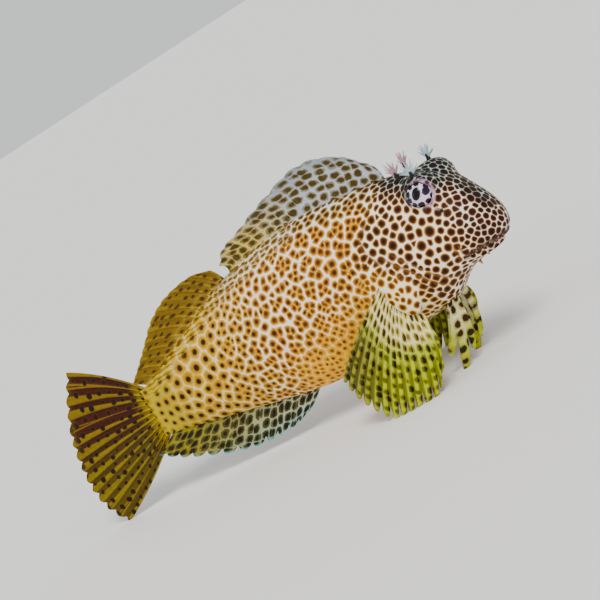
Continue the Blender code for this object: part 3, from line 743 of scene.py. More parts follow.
def skinMarks(points, paths, nostril):
    # how strongly each mark shows at points on the fish's left
    x, y, z = points.T
    lipGap, lipShare = nearestOnPath(points, paths["upper"])
    lowGap = nearestOnPath(points, paths["lower"])[0]
    gapeGap = nearestOnPath(points, paths["gape"])[0]
    lip = easeBetween(1.05, 0.75, lipGap) * easeBetween(0.25, -0.15, gapeGap - lowGap)
    rays = easeBetween(5.0, 0.5, bodyLevel(0, x) - z + 0.6 * np.sin(x * 1.7))
    reach, sight = points - np.array(moundCentre()), np.array(eyeLook())
    sightGap = np.linalg.norm(reach - (reach @ sight)[:, None] * sight, axis=1)
    return {
        "lip": lip * easeBetween(1.0, 0.93, lipShare),
        # painted shade: a dark line along the slit between the lips
        "gape": easeBetween(0.42, 0.2, gapeGap),
        # painted shade: a thin dark band just behind the gill cover's edge, where the cover overhangs the
        # skin
        "gill": easeBetween(0.8, 0.1, np.abs(gillDistance(points) + 0.25)) * easeBetween(3, 6, y),
        # painted shade: the skin's folds are darkened where they run deep
        "crease": easeBetween(0.25, 0.85, creaseDepths(points)[0]),
        "streak": rays * easeBetween(14, 2, x) * easeBetween(-46, -42, x),
        # painted shade: a dark disc where the nostril's pit is, as no hole is cut
        "nostril": easeBetween(0.42, 0.26, np.linalg.norm(points - np.array(nostril), axis=1)),
        "eye": easeBetween(3.60, 3.25, sightGap) * easeBetween(0.0, 1.8, reach[:, 0]),
    }


def makeSkin():
    grid, paths = raiseFeatures(halfBodyGrid())
    eyeGap = np.linalg.norm(grid - np.array(moundCentre()), axis=-1)
    grid = stepAtGill(evenOut(grid, easeBetween(*skin["evened"], eyeGap), skin["rounds"]))
    nostril, opening = findNostril(grid)

    obj, i, j = addGrid(skin["name"], *grid.shape[:2])
    placeVertices(obj, grid[i, j])
    applyModifier(obj, "MIRROR", use_axis=(False, True, False), merge_threshold=0.004)
    editWhole(obj, bpy.ops.mesh.remove_doubles, threshold=0.005)
    paintSpots(obj)
    straight = verticesOf(obj)
    folded = np.where([False, True, False], np.abs(straight), straight)
    for name, values in {**skinZones(straight), **skinMarks(folded, paths, nostril)}.items():
        addAttribute(obj, name + "Zone", values)
    placeVertices(obj, toFrame(straight))
    editWhole(obj, bpy.ops.mesh.normals_make_consistent, inside=False)
    for side, _ in bothSides:
        cutSocket(obj, side)
    return obj, nostril, opening


def cutSocket(obj, side):
    cutter = addRound(bpy.ops.mesh.primitive_uv_sphere_add, toFrame(mirrored(eye["centre"], side)),
                      eyeLook(side), segments=48, ring_count=24, radius=eye["socket"] * mm)
    applyModifier(obj, "BOOLEAN", operation="DIFFERENCE", object=cutter, solver="EXACT")
    bpy.data.objects.remove(cutter)


# the skin's paint

skinLook = {
    "ramps": (-0.15, 0.6),   # the depth in a spot at which the ramps of colour start, and their span
    "heart": (0.034, 0.007, 0.001), "tailHeart": (0.018, 0.006, 0.001),
    "rosy": (1.0, 0.94, 0.92), "warm": (1.0, 0.86, 0.70),   # tints of whole patches and of single spots
    "darkRay": (0.15, 0.078, 0.002), "paleRay": (0.66, 0.56, 0.30), "tailRay": (0.52, 0.38, 0.0),
    # the gape colour is painted shade in the slit between the lips
    "lip": (0.050, 0.014, 0.005), "lipFleck": (0.38, 0.24, 0.18), "gape": (0.008, 0.003, 0.002),
    # the crease colour is painted shade in the folds of the skin
    # the gill colour is painted shade under the gill cover's edge
    # the nostril colour is painted shade inside the nostril's pit
    "gill": (0.16, 0.055, 0.006), "crease": (0.19, 0.062, 0.006), "nostril": (0.010, 0.004, 0.003),
    "socket": (0.42, 0.25, 0.38), "socketFleck": (0.07, 0.025, 0.050),
    "bump": 0.10,
}


def skinPaint():
    paint, s = newPaint("spotted skin")
    look = skinLook
    place = s.objectPoint()
    fuzz = place.noise(1.5, 3.0, 0.6) - 0.5
    zone = {name: s.attribute(name + "Zone") for name in zoneOrder + markOrder}
    depth, near, _ = s.uvMap("spotDepth").axes()
    luck, luck2, _ = s.uvMap("spotLuck").axes()
    inward = depth + fuzz * 0.05
    start, span = look["ramps"]
    rampPlace = (inward - start) / span

    def banded(name):
        # a zone's colours from the middle of the net inwards to the heart of a spot
        return rampPlace.ramp([((at - start) / span, colour) for at, colour in skinColours[name]])

    colour = banded("trunk")
    for name in zoneOrder:
        if name == "head":   # the hearts of the spots behind it come first
            reach = near + fuzz * 0.06
            heart = reach.ease(0.38, 0.12) * (1 - zone["tail"]) * (0.78 + luck * 0.22)
            heart = (heart + reach.ease(0.29, 0.15) * zone["tail"]) * (1 - zone["breast"])
            colour = heart.between(colour, zone["tail"].between(look["heart"], look["tailHeart"]))
        colour = zone[name].between(colour, banded(name))
    patch, _, _ = place.noise(0.16, 1.0, 0.5, "Color").axes()
    colour = colour.tinted(patch.ease(0.4, 0.65), look["rosy"])
    colour = colour.tinted(luck2.ease(0.2, 0.9) * 0.5, look["warm"])

    # the rays' feet show as pale and dark streaks in the skin
    px, _, pz = place.axes()
    streaks = skin["streaks"]
    away = px * streaks["across"][0] + pz * streaks["across"][1] + (place.noise(0.35) - 0.5) * 1.6
    wave = (away * (2 * math.pi / streaks["pitch"])).maths("SINE")
    colour = (zone["streak"] * wave.ease(0.2, -0.8) * 0.75).between(colour, look["darkRay"])
    paleRay = zone["tail"].between(look["paleRay"], look["tailRay"])
    colour = (zone["streak"] * wave.ease(0.35, 0.95) * 0.85).between(colour, paleRay)

    lip = place.cells(2.0, 1.0).ease(0.36, 0.16).between(look["lip"], look["lipFleck"])
    socket = place.cells(0.9, 0.9).ease(0.50, 0.36).between(look["socket"], look["socketFleck"])
    colour = (zone["lip"] * 0.92).between(colour, lip)
    # painted shade: the slit between the lips goes nearly black
    colour = zone["gape"].between(colour, look["gape"])
    # painted shade under the gill cover's edge, broken up by noise
    colour = (zone["gill"] * place.noise(0.5).ease(0.45, 0.60) * 0.7).between(colour, look["gill"])
    # painted shade: the folds behind the mouth and under the gill cover are darkened in patches, as shade
    # falls in them
    colour = (zone["crease"] * place.noise(0.9).ease(0.30, 0.50) * 0.8).between(colour, look["crease"])
    # painted shade: the nostril's pit is a dark disc on the skin
    colour = zone["nostril"].between(colour, look["nostril"])
    colour = (zone["eye"] * 0.8).between(colour, socket)
    mottle = place.noise(3.0, 3.0, 0.6)
    colour = colour.tinted(mottle.ease(0.25, 0.75) * 0.16, softGrey)

    pores = place.cells(5.5, 1.0) * 0.22
    relief = pores + place.noise(2.2, 3.0, 0.6) * 0.6 - inward.ease(0.0, 0.30) * 0.30
    wire(paint, BaseColor=colour, Roughness=0.40 + mottle.ease(0.2, 0.8) * 0.16,
         Normal=relief.bump(look["bump"]), SpecularIORLevel=0.09, CoatWeight=0.03, CoatRoughness=0.18)
    return paint


# eyes

eyeLooks = {
    # in radians from the line of sight: towards the snout, upwards, and half the width
    "pupil": (-0.08, 0.22, 0.31, 0.47), "pupilLean": 33,
    "blots": [(0.64, 0.08, 0.31), (0.84, 0.44, 0.26), (0.20, 1.00, 0.29), (-0.34, 0.94, 0.25),
              (-0.76, 0.46, 0.25), (-0.82, -0.02, 0.24), (-0.16, -0.68, 0.28), (-0.62, -0.46, 0.21),
              (0.44, -0.66, 0.24), (0.94, -0.46, 0.24), (0.68, 0.90, 0.22)],
    "iris": [(0.56, 0.46, 0.60), (0.78, 0.72, 0.80)], "shade": (0.50, 0.42, 0.46),
    "blot": (0.010, 0.002, 0.016), "rim": (0.09, 0.040, 0.09), "hole": (0.0015, 0.0015, 0.002),
    "lid": [(0.40, 0.22, 0.34), (0.52, 0.34, 0.42)], "lidRear": (0.16, 0.17, 0.11),
    "lidBlot": (0.018, 0.006, 0.012),
}


def eyePaint():
    # a tall dark pupil in a milky iris with a ring of dark blots
    paint, s = newPaint("eye")
    fore, high, _ = s.uvMap("sight").axes()
    place = s.objectPoint()
    fuzz = place.noise(1.1) - 0.5
    x, y, wide, tall = eyeLooks["pupil"]
    lean = math.radians(eyeLooks["pupilLean"])
    across = (fore - x) * math.cos(lean) - (high - y) * math.sin(lean)
    upright = (fore - x) * math.sin(lean) + (high - y) * math.cos(lean)
    reach = (across / wide).lengthWith(upright / tall) + fuzz * 0.12
    blot = 0.0
    for x, y, size in eyeLooks["blots"]:
        gap = (fore - x).lengthWith(high - y) + fuzz * 0.22
        blot = gap.ease(size + 0.03, size - 0.03).maths("MAXIMUM", blot)
    white = place.noise(2.6, 3.0).ease(0.35, 0.65).between(*eyeLooks["iris"])
    white = reach.ease(1.5, 1.05).between(white, eyeLooks["shade"])
    colour = blot.between(white, eyeLooks["blot"])
    colour = (fore.lengthWith(high) + fuzz * 0.25).ease(1.12, 1.30).between(colour, eyeLooks["rim"])
    colour = reach.ease(1.06, 0.94).between(colour, eyeLooks["hole"])
    wire(paint, BaseColor=colour, Roughness=0.22, SpecularIORLevel=0.15, CoatWeight=0.45, CoatRoughness=0.03,
         CoatIOR=1.35)
    return paint


def sightMap(obj, centre, look):
    # how far each point of the eye turns from the line of sight, forwards and upwards
    ahead = (Vector((1, 0, 0)) - look * look.x).normalized()
    up = Vector((0, 0, 1)) - look * look.z
    up = (up - ahead * up.dot(ahead)).normalized()
    way = verticesOf(obj) - np.array(centre)
    way /= np.linalg.norm(way, axis=1, keepdims=True)
    polar = np.arccos(np.clip(way @ np.array(look), -1, 1))
    side = np.stack([way @ np.array(ahead), way @ np.array(up)], axis=1)
    side /= np.maximum(np.linalg.norm(side, axis=1, keepdims=True), 1e-9)
    setUv(obj, "sight", (side * polar[:, None])[cornerVertices(obj)])


def makeEye(side, word, paint):
    place = toFrame(mirrored(eye["centre"], side))
    obj = addRound(bpy.ops.mesh.primitive_uv_sphere_add, place, eyeLook(side),
                   segments=96, ring_count=64, radius=eye["radius"] * mm)
    obj.name = "eyeball_" + word
    sightMap(obj, place, eyeLook(side))
    finishPiece(obj, paint, ["eye_" + word], 80)


def lidPaint():
    paint, s = newPaint("eyelid")
    place = s.objectPoint()
    pink = place.noise(0.8).ease(0.4, 0.6).between(*eyeLooks["lid"])
    colour = s.attribute("fore").ease(-0.2, 0.5).between(eyeLooks["lidRear"], pink)
    colour = place.cells(0.75, 0.9).ease(0.62, 0.46).between(colour, eyeLooks["lidBlot"])
    wire(paint, BaseColor=colour, Roughness=0.40, SpecularIORLevel=0.25,
         Normal=place.noise(3.0, 3.0).bump(0.08), CoatWeight=0.1, CoatRoughness=0.2)
    return paint


def makeLid(side, word, paint):
    shape = eye["lid"]
    place = toFrame(Vector(mirrored(eye["centre"], side)) + eyeLook(side) * shape["out"])
    obj = addRound(bpy.ops.mesh.primitive_torus_add, place, eyeLook(side), major_segments=64,
                   minor_segments=14, major_radius=shape["radius"] * mm, minor_radius=shape["thick"] * mm)
    obj.name = "eyelid_" + word
    addAttribute(obj, "fore", (verticesOf(obj)[:, 0] - place[0]) / (shape["radius"] * mm))
    finishPiece(obj, paint, [], 80)


# tufts

tufts = {
    # the colours run from a branch's root to its tip
    "eye": {"seed": 5, "height": 4.1, "spread": 64, "branches": 10, "stem": 0.50, "twig": 0.21,
            "lean": (0.12, 0.10, 1.0), "colours": [(0.012, 0.009, 0.008), (0.34, 0.45, 0.47)]},
    "nape": {"seed": 9, "height": 4.2, "spread": 44, "branches": 8, "stem": 0.46, "twig": 0.20,
             "lean": (0.06, 0.22, 1.0), "colours": [(0.020, 0.013, 0.010), (0.38, 0.22, 0.26)]},
    "nose": {"seed": 15, "height": 1.5, "spread": 30, "branches": 3, "stem": 0.22, "twig": 0.15,
             "lean": (0.45, 0.60, 0.75), "colours": [(0.050, 0.022, 0.010), (0.40, 0.24, 0.18)]},
}
twigs = {
    # levels and lengths are shares of a tuft's height, and tapers are shares of a twig's thickness
    "sunk": 1.0, "stemLevels": (0.1, 0.34), "stemTaper": (1.35, 1.0, 0.75), "taper": (1.25, 1.0, 0.4),
    "start": 0.12, "bow": 0.10, "middle": 0.76, "outer": 0.56, "turnLuck": 4, "lengthLuck": (0.85, 1.08),
    "swayLuck": (0.30, 0.12), "lift": 0.2,   # in millimetres, in the tuft's plane and across it
}


def tuftPaint(kind):
    paint, s = newPaint(kind + " tuft")
    place = s.objectPoint()
    along = s.attribute("along") + (place.noise(1.1) - 0.5) * 0.35
    wire(paint, BaseColor=along.ease(0.26, 0.52).between(*tufts[kind]["colours"]), Roughness=0.45,
         SpecularIORLevel=0.15, Normal=place.noise(5.0).bump(0.04))
    return paint


def addTwig(path, radii, alongs):
    # one tapered branch: a cylinder cut across its middle, with a ring at each point of its path
    deselectAll()
    bpy.ops.mesh.primitive_cylinder_add(vertices=8, radius=1, depth=2, end_fill_type="NGON")
    obj = bpy.context.object
    editWhole(obj, bpy.ops.mesh.bisect, plane_co=(0, 0, 0), plane_no=(0, 0, 1))
    flat = verticesOf(obj)
    share = (flat[:, 2] + 1) / 2
    centre = smoothCurve(path, share)
    ahead = smoothCurve(path, np.minimum(share + 0.02, 1)) - smoothCurve(path, np.maximum(share - 0.02, 0))
    ahead /= np.linalg.norm(ahead, axis=1, keepdims=True)
    side = np.cross(ahead, (0.13, 0.21, 1.0))
    side /= np.linalg.norm(side, axis=1, keepdims=True)
    top = np.cross(side, ahead)
    radius = np.interp(share, np.linspace(0, 1, len(radii)), radii)[:, None]
    placeVertices(obj, centre + radius * (side * flat[:, :1] + top * flat[:, 1:2]))
    addAttribute(obj, "along", np.interp(share, [0, 1], alongs))
    return obj


def makeTuft(kind, side, word, root, nodes):
    # a short stem, and a fan of branches that start inside it, with its root given for the left side
    shape = tufts[kind]
    draw = random.Random(shape["seed"] + side)
    way = Vector(mirrored(shape["lean"], side)).normalized()
    axis = Vector((0.3, side, -0.1)).normalized()
    axis = (axis - way * axis.dot(way)).normalized()
    root, height = Vector(mirrored(root, side)), shape["height"]
    stem = [root - way * twigs["sunk"]] + [root + way * height * level for level in twigs["stemLevels"]]
    made = [addTwig(stem, [shape["stem"] * share for share in twigs["stemTaper"]], (0.0, 0.3))]
    thick = [shape["twig"] * share for share in twigs["taper"]]
    start = root + way * height * twigs["start"]
    for k in range(shape["branches"]):
        share = 2 * k / (shape["branches"] - 1) - 1
        turn = shape["spread"] * share + draw.uniform(-twigs["turnLuck"], twigs["turnLuck"])
        aim = Matrix.Rotation(math.radians(turn), 3, axis) @ way
        bow = (aim - way * aim.dot(way)) * twigs["bow"] * height
        out, across = [draw.uniform(-luck, luck) for luck in twigs["swayLuck"]]
        sway = axis * out + aim.cross(axis) * across
        length = twigs["middle"] + (twigs["outer"] - twigs["middle"]) * share * share
        reach = aim * height * length * draw.uniform(*twigs["lengthLuck"])
        end = start + reach + sway + way * twigs["lift"]
        made.append(addTwig([start, start + reach * 0.5 + sway * 0.35 - bow, end], thick, (0.2, 1.0)))
    joinTwigs(kind + "_tuft_" + word, made, tuftPaints[kind], nodes)


def joinTwigs(name, made, paint, nodes):
    obj = made[0]
    makeActive(obj)
    for twig in made[1:]:
        twig.select_set(True)
    bpy.ops.object.join()
    obj.name = name
    placeVertices(obj, toFrame(verticesOf(obj)))
    editWhole(obj, bpy.ops.mesh.normals_make_consistent, inside=False)
    finishPiece(obj, paint, nodes, 75)


def makeNostril(name, place, way, paint):
    shape = skin["nostril"]
    obj = addRound(bpy.ops.mesh.primitive_torus_add, toFrame(place), way, major_segments=32,
                   minor_segments=10, major_radius=shape["radius"] * mm, minor_radius=shape["rim"] * mm)
    obj.name = name
    addAttribute(obj, "fore", np.full(len(obj.data.vertices), -1.0))   # as the rear of an eyelid
    finishPiece(obj, paint, [], 80)


def makeBarbel(name, side, paint):
    # a soft feeler under the chin
    shape = skin["barbel"]
    top = Vector((shape["x"], side * shape["y"], float(bodyLevel(1, shape["x"])) + shape["sunk"]))
    way = Vector(mirrored(shape["way"], side)).normalized()
    path = [top, top + way * 1.2, top + way * shape["length"]]
    joinTwigs(name, [addTwig(path, shape["radii"], (0.0, 0.6))], paint, [])


# fins

fins = {
    # base or roots, and tips, are curves that the rays stand on; lag leans the rays back, as powers
    # of t at root and tip; bow is how far a ray bows, thick its thickness at root and tip; web and
    # width are the web's thickness and a ray's width; notch is how far the web stops short
    "spiny": {
        "rays": 12, "base": (34.6, -9.4), "sink": 1.2,
        "tips": [(32.6, 0.0, 48.6), (28.6, 0.3, 52.2), (22.6, 0.6, 54.6), (16.4, 0.3, 54.9),
                 (9.6, -0.2, 53.0), (3.2, -0.5, 50.9), (-2.8, -0.2, 48.7), (-7.6, 0.0, 47.2),
                 (-10.6, 0.2, 44.2)],
        "bow": lambda t: (0.9, 0.25, 0.5), "thick": (0.80, 0.34), "web": 0.16, "width": 0.11,
        "notch": lambda t: 0.03 + 0.04 * t, "lobe": 2.0, "split": 0.0, "ripple": 0.16,
    },
    "soft": {
        "rays": 14, "base": (-10.8, -42.4), "sink": 1.2, "lag": (1.4, 0.75),
        "tips": [(-13.4, 0.0, 44.4), (-18.2, 0.2, 45.3), (-23.2, 0.4, 44.8), (-28.4, 0.3, 43.4),
                 (-33.4, -0.1, 40.7), (-38.0, -0.4, 36.8), (-42.3, -0.4, 33.2), (-46.5, -0.7, 29.8)],
        "bow": lambda t: (-0.2, 0.3, 0.7 - 0.4 * t), "thick": (0.60, 0.30), "web": 0.18, "width": 0.13,
        "notch": lambda t: 0.035, "lobe": 2.0, "split": 0.10, "ripple": 0.10,
    },
    "anal": {
        "rays": 13, "base": (-4.4, -43.5), "sink": -1.2,
        "tips": [(-11.4, 0.0, 5.4), (-16.8, 0.3, 3.5), (-22.4, 0.5, 2.9), (-28.4, 0.4, 3.1),
                 (-34.8, 0.0, 4.6), (-41.3, -0.3, 6.9), (-46.8, -0.4, 9.2), (-51.2, -0.4, 12.0)],
        "bow": lambda t: (-0.3, -0.2, -0.5), "thick": (0.80, 0.50), "web": 0.18, "width": 0.17,
        "notch": lambda t: 0.26 - 0.14 * t, "lobe": 2.6, "split": 0.0, "ripple": 0.20,
    },
    "caudal": {
        "rays": 14,
        "roots": [(-43.8, 0.1, 26.6), (-43.4, 0.0, 24.0), (-43.4, 0.0, 21.2), (-43.6, 0.0, 18.6),
                  (-44.0, 0.0, 16.4)],
        "tips": [(-60.2, 0.6, 39.8), (-64.8, 0.2, 33.2), (-68.6, -0.2, 26.0), (-70.8, -0.3, 19.2),
                 (-72.0, -0.2, 12.6), (-72.0, 0.6, 6.2), (-69.8, 1.8, 0.0)],
        "bow": lambda t: (0.0, 0.7, 0.9 - 1.8 * t), "thick": (0.95, 0.36), "web": 0.16, "width": 0.17,
        "notch": lambda t: 0.035, "lobe": 1.6, "split": 0.13, "ripple": 0.18,
    },
    "pectoral": {
        "rays": 14,
        "roots": [(27.6, 9.6, 27.4), (26.6, 10.2, 24.2), (26.4, 10.5, 21.0), (27.6, 10.3, 18.2),
                  (30.0, 8.9, 16.2)],
        "tips": [(9.4, 15.8, 12.4), (10.8, 17.2, 8.4), (12.8, 17.6, 4.6), (15.2, 17.2, 1.0),
                 (18.4, 16.8, -0.2), (21.8, 15.8, -0.2), (25.4, 14.2, 0.0), (28.4, 12.6, 4.4)],
        "bow": lambda t: (-0.8 + 3.4 * t * t, 2.2, -0.2), "thick": (1.20, 0.85), "web": 0.20, "width": 0.27,
        "notch": lambda t: 0.06 + 0.24 * t, "lobe": 3.0, "split": 0.0, "ripple": 0.22,
    },
    "pelvic": {
        "rays": 3,
        "roots": [(35.8, 1.8, 15.8), (34.6, 2.6, 15.6), (33.4, 3.4, 15.4)],
        "tips": [(33.4, 2.6, 3.6), (29.4, 5.0, -0.6), (28.8, 6.6, 5.6)],
        "bow": lambda t: (0.9, 0.3, -0.2), "thick": (1.75, 1.05), "web": 0.5, "width": 0.34,
        "notch": lambda t: 0.5, "lobe": 2.4, "split": 0.0, "ripple": 0.0,
    },
}


def finCurves(shape, side):
    if "base" in shape:
        x = np.linspace(*shape["base"], 24)
        level = bodyLevel(0 if shape["sink"] > 0 else 1, x)
        roots = np.stack([x, 0 * x, level - shape["sink"]], axis=1)
    else:
        roots = mirrored(shape["roots"], side)
    return roots, mirrored(shape["tips"], side)


finMesh = {"perRay": 12, "rows": 34, "splitFrom": 0.45, "roundFrom": 0.90, "roundBy": 0.75}


def makeFin(name, kind, side, paint, nodes):
    shape = fins[kind]
    rays, rows = shape["rays"], finMesh["rows"]
    columns = (rays - 1) * finMesh["perRay"] + 1
    obj, i, j = addGrid(name, columns, rows)
    t = i / (columns - 1)
    place = t * (rays - 1)                         # the rays stand at whole numbers
    off = place - np.rint(place)                   # -0.5 to 0.5 from the nearest ray
    roots, tips = finCurves(shape, side)
    rootLag, tipLag = shape.get("lag", (1, 1))
    low, high = smoothCurve(roots, t ** rootLag), smoothCurve(tips, t ** tipLag)
    reach = 1 - shape["notch"](t) * (2 * np.abs(off)) ** shape["lobe"]
    s = reach * j / (rows - 1)
    bow = mirrored([shape["bow"](value) for value in t], side)
    points = low + (high - low) * s[:, None] + bow * (4 * s * (1 - s))[:, None]
    along = smoothCurve(roots, np.minimum(t + 0.02, 1)) - smoothCurve(roots, np.maximum(t - 0.02, 0))
    across = np.cross(high - low, along)
    across /= np.linalg.norm(across, axis=1, keepdims=True)
    sway = shape["ripple"] * np.sin(place * math.pi) * np.sin(off * 2 * math.pi) * easeBetween(0.1, 0.7, s)
    placeVertices(obj, points + across * sway[:, None])

    # each ray is a ridge, which splits in two towards its tip
    spread = shape["split"] * easeBetween(finMesh["splitFrom"], 1.0, s)
    ridge = np.exp(-(np.minimum(np.abs(off - spread), np.abs(off + spread)) / shape["width"]) ** 2)
    rayThick = shape["thick"][0] + (shape["thick"][1] - shape["thick"][0]) * s
    tipRound = 1 - finMesh["roundBy"] * easeBetween(finMesh["roundFrom"], 1.0, s / reach)
    thick = shape["web"] + (rayThick - shape["web"]) * ridge * tipRound
    length = np.linalg.norm(high - low, axis=1)
    setUv(obj, "web", np.stack([place, s * length], axis=1)[cornerVertices(obj)])
    for attribute, values in (("rayRidge", ridge), ("outward", s), ("order", t)):
        addAttribute(obj, attribute, values)
    whole = float(thick.max())
    group = obj.vertex_groups.new(name="thickness")
    for index, weight in enumerate(thick / whole):
        group.add([index], float(weight), "REPLACE")
    applyModifier(obj, "SOLIDIFY", thickness=whole, offset=0.0, vertex_group="thickness",
                  thickness_vertex_group=0.0, use_even_offset=False, use_rim=True)
    placeVertices(obj, toFrame(verticesOf(obj)))
    editWhole(obj, bpy.ops.mesh.normals_make_consistent, inside=False)
    finishPiece(obj, paint, nodes, 70)


plainFin = {
    # across and pitch scale the cells of the net, line and dot are a line's and a spot's half width,
    # and pairs are the edges of a fade, along the rays or from the first ray to the last
    "across": 1.0, "shift": 0.0, "random": 0.50, "dotLuck": 0.13, "netFade": (-0.5, 0.0),
    "rear": (2.0, 3.0), "rearFrom": (-0.5, 0.0),        # past the last ray: no rear of its own colour
    "netEdge": (0.02, -0.03), "dotEdge": (0.05, -0.05), "haloEdge": (0.20, 0.02), "tipEdge": (0.90, 0.985),
    "rayClear": 0.0, "edging": 0.5, "clearFrom": (0.3, 0.95), "clear": 0.0,
    "rayTint": (0.62, 0.66, 0.50), "joints": 9.0, "bump": 0.07,
}
finLooks = {
    # colours at the root, at the tip and at the fin's rear
    "spiny": {
        "across": 1.6, "shift": 0.5, "pitch": 1.75, "wander": 0.5, "line": 0.08, "dot": 0.30, "vary": 0.2,
        "rayEdge": (0.6, 1.0), "turn": (0.55, 1.0), "rear": (0.40, 0.80),
        "web": [(0.24, 0.25, 0.24), (0.16, 0.175, 0.15), (0.22, 0.155, 0.018)],
        "ray": [(0.27, 0.26, 0.22), (0.18, 0.175, 0.11), (0.28, 0.205, 0.026)],
        "net": [(0.36, 0.40, 0.47), (0.23, 0.28, 0.34), (0.50, 0.36, 0.08)],
        "dots": [(0.050, 0.030, 0.005), (0.040, 0.036, 0.010)], "halo": (0.15, 0.110, 0.018),
        "haloShare": 0.85, "rayClear": 0.2, "tip": (0.30, 0.34, 0.34), "clear": 0.25,
    },
    "soft": {
        "shift": 0.5, "pitch": 2.1, "wander": 0.4, "line": 0.03, "dot": 0.21, "vary": 0.4,
        "rayEdge": (0.45, 0.95), "turn": (0.0, 0.5), "netFade": (0.45, 0.0),
        "web": [(0.22, 0.125, 0.001), (0.155, 0.092, 0.001)],
        "ray": [(0.44, 0.28, 0.002), (0.26, 0.155, 0.001)],
        "net": [(0.46, 0.33, 0.08), (0.26, 0.18, 0.010)],
        "dots": [(0.040, 0.014, 0.001), (0.034, 0.018, 0.002)], "halo": (0.150, 0.070, 0.004),
        "haloShare": 0.6, "rayClear": 0.1, "tip": (0.28, 0.18, 0.004), "clear": 0.03,
    },
    "anal": {
        "across": 1.6, "pitch": 2.7, "wander": 0.35, "line": 0.062, "dot": 0.30, "vary": 0.3,
        "rayEdge": (0.55, 1.0), "turn": (0.30, 0.9), "rear": (0.0, 0.85),
        "web": [(0.052, 0.056, 0.020), (0.030, 0.044, 0.020), (0.060, 0.052, 0.003)],
        "ray": [(0.34, 0.32, 0.16), (0.18, 0.27, 0.18), (0.20, 0.15, 0.004)],
        "net": [(0.40, 0.43, 0.27), (0.19, 0.43, 0.38), (0.20, 0.16, 0.006)],
        "dots": [(0.014, 0.008, 0.001), (0.006, 0.007, 0.003)], "halo": (0.055, 0.050, 0.012),
        "haloShare": 0.7, "rayClear": 0.35, "edging": 1.0, "tip": (0.13, 0.50, 0.52),
        "clearFrom": (0.4, 0.95), "clear": 0.02,
    },
    "caudal": {
        "shift": 0.5, "pitch": 2.7, "random": 0.42, "wander": 0.24, "line": 0.02, "dot": 0.21, "vary": 0.7,
        "rayEdge": (0.38, 0.80), "turn": (0.08, 0.30), "rear": (0.35, 0.80), "rearFrom": (0.10, 0.35),
        "web": [(0.30, 0.20, 0.0), (0.040, 0.006, 0.002), (0.076, 0.046, 0.001)],
        "ray": [(0.46, 0.34, 0.0), (0.215, 0.132, 0.0), (0.21, 0.150, 0.0)],
        "net": [(0.44, 0.32, 0.03), (0.2, 0.14, 0.01), (0.2, 0.14, 0.01)], "netFade": (0.16, 0.0),
        "dots": [(0.020, 0.006, 0.001), (0.010, 0.004, 0.001)], "halo": (0.11, 0.06, 0.002),
        "haloShare": 0.12, "edging": 0.3, "tip": (0.14, 0.085, 0.002),
    },
    "pectoral": {
        "pitch": 2.2, "random": 0.40, "wander": 0.20, "line": 0.10, "dot": 0.27, "vary": 0.2,
        "rayEdge": (0.25, 0.75), "turn": (0.20, 0.42), "rear": (0.50, 0.10), "rearFrom": (0.25, 0.55),
        "web": [(0.58, 0.46, 0.06), (0.15, 0.17, 0.001), (0.080, 0.068, 0.008)],
        "ray": [(0.66, 0.56, 0.12), (0.42, 0.45, 0.0), (0.26, 0.24, 0.014)],
        "net": [(0.74, 0.66, 0.36), (0.40, 0.46, 0.03), (0.28, 0.30, 0.10)], "netFade": (0.62, 0.25),
        "dots": [(0.050, 0.016, 0.002), (0.008, 0.006, 0.001)], "halo": (0.10, 0.085, 0.004),
        "haloShare": 0.5, "rayClear": 0.35, "edging": 0.4, "tip": (0.42, 0.46, 0.01),
        "clearFrom": (0.35, 0.9), "clear": 0.06,
    },
    "pelvic": {
        "pitch": 2.6, "wander": 0.3, "line": 0.12, "dot": 0.30, "vary": 0.1,
        "rayEdge": (0.2, 0.7), "turn": (0.15, 0.75), "netFade": (0.9, 0.3),
        "web": [(0.50, 0.47, 0.20), (0.26, 0.29, 0.01)],
        "ray": [(0.54, 0.51, 0.23), (0.36, 0.40, 0.002)],
        "net": [(0.64, 0.60, 0.32), (0.40, 0.44, 0.05)],
        "dots": [(0.036, 0.012, 0.002), (0.012, 0.008, 0.001)], "halo": (0.20, 0.110, 0.010),
        "haloShare": 0.5, "tip": (0.44, 0.45, 0.12),
    },
}


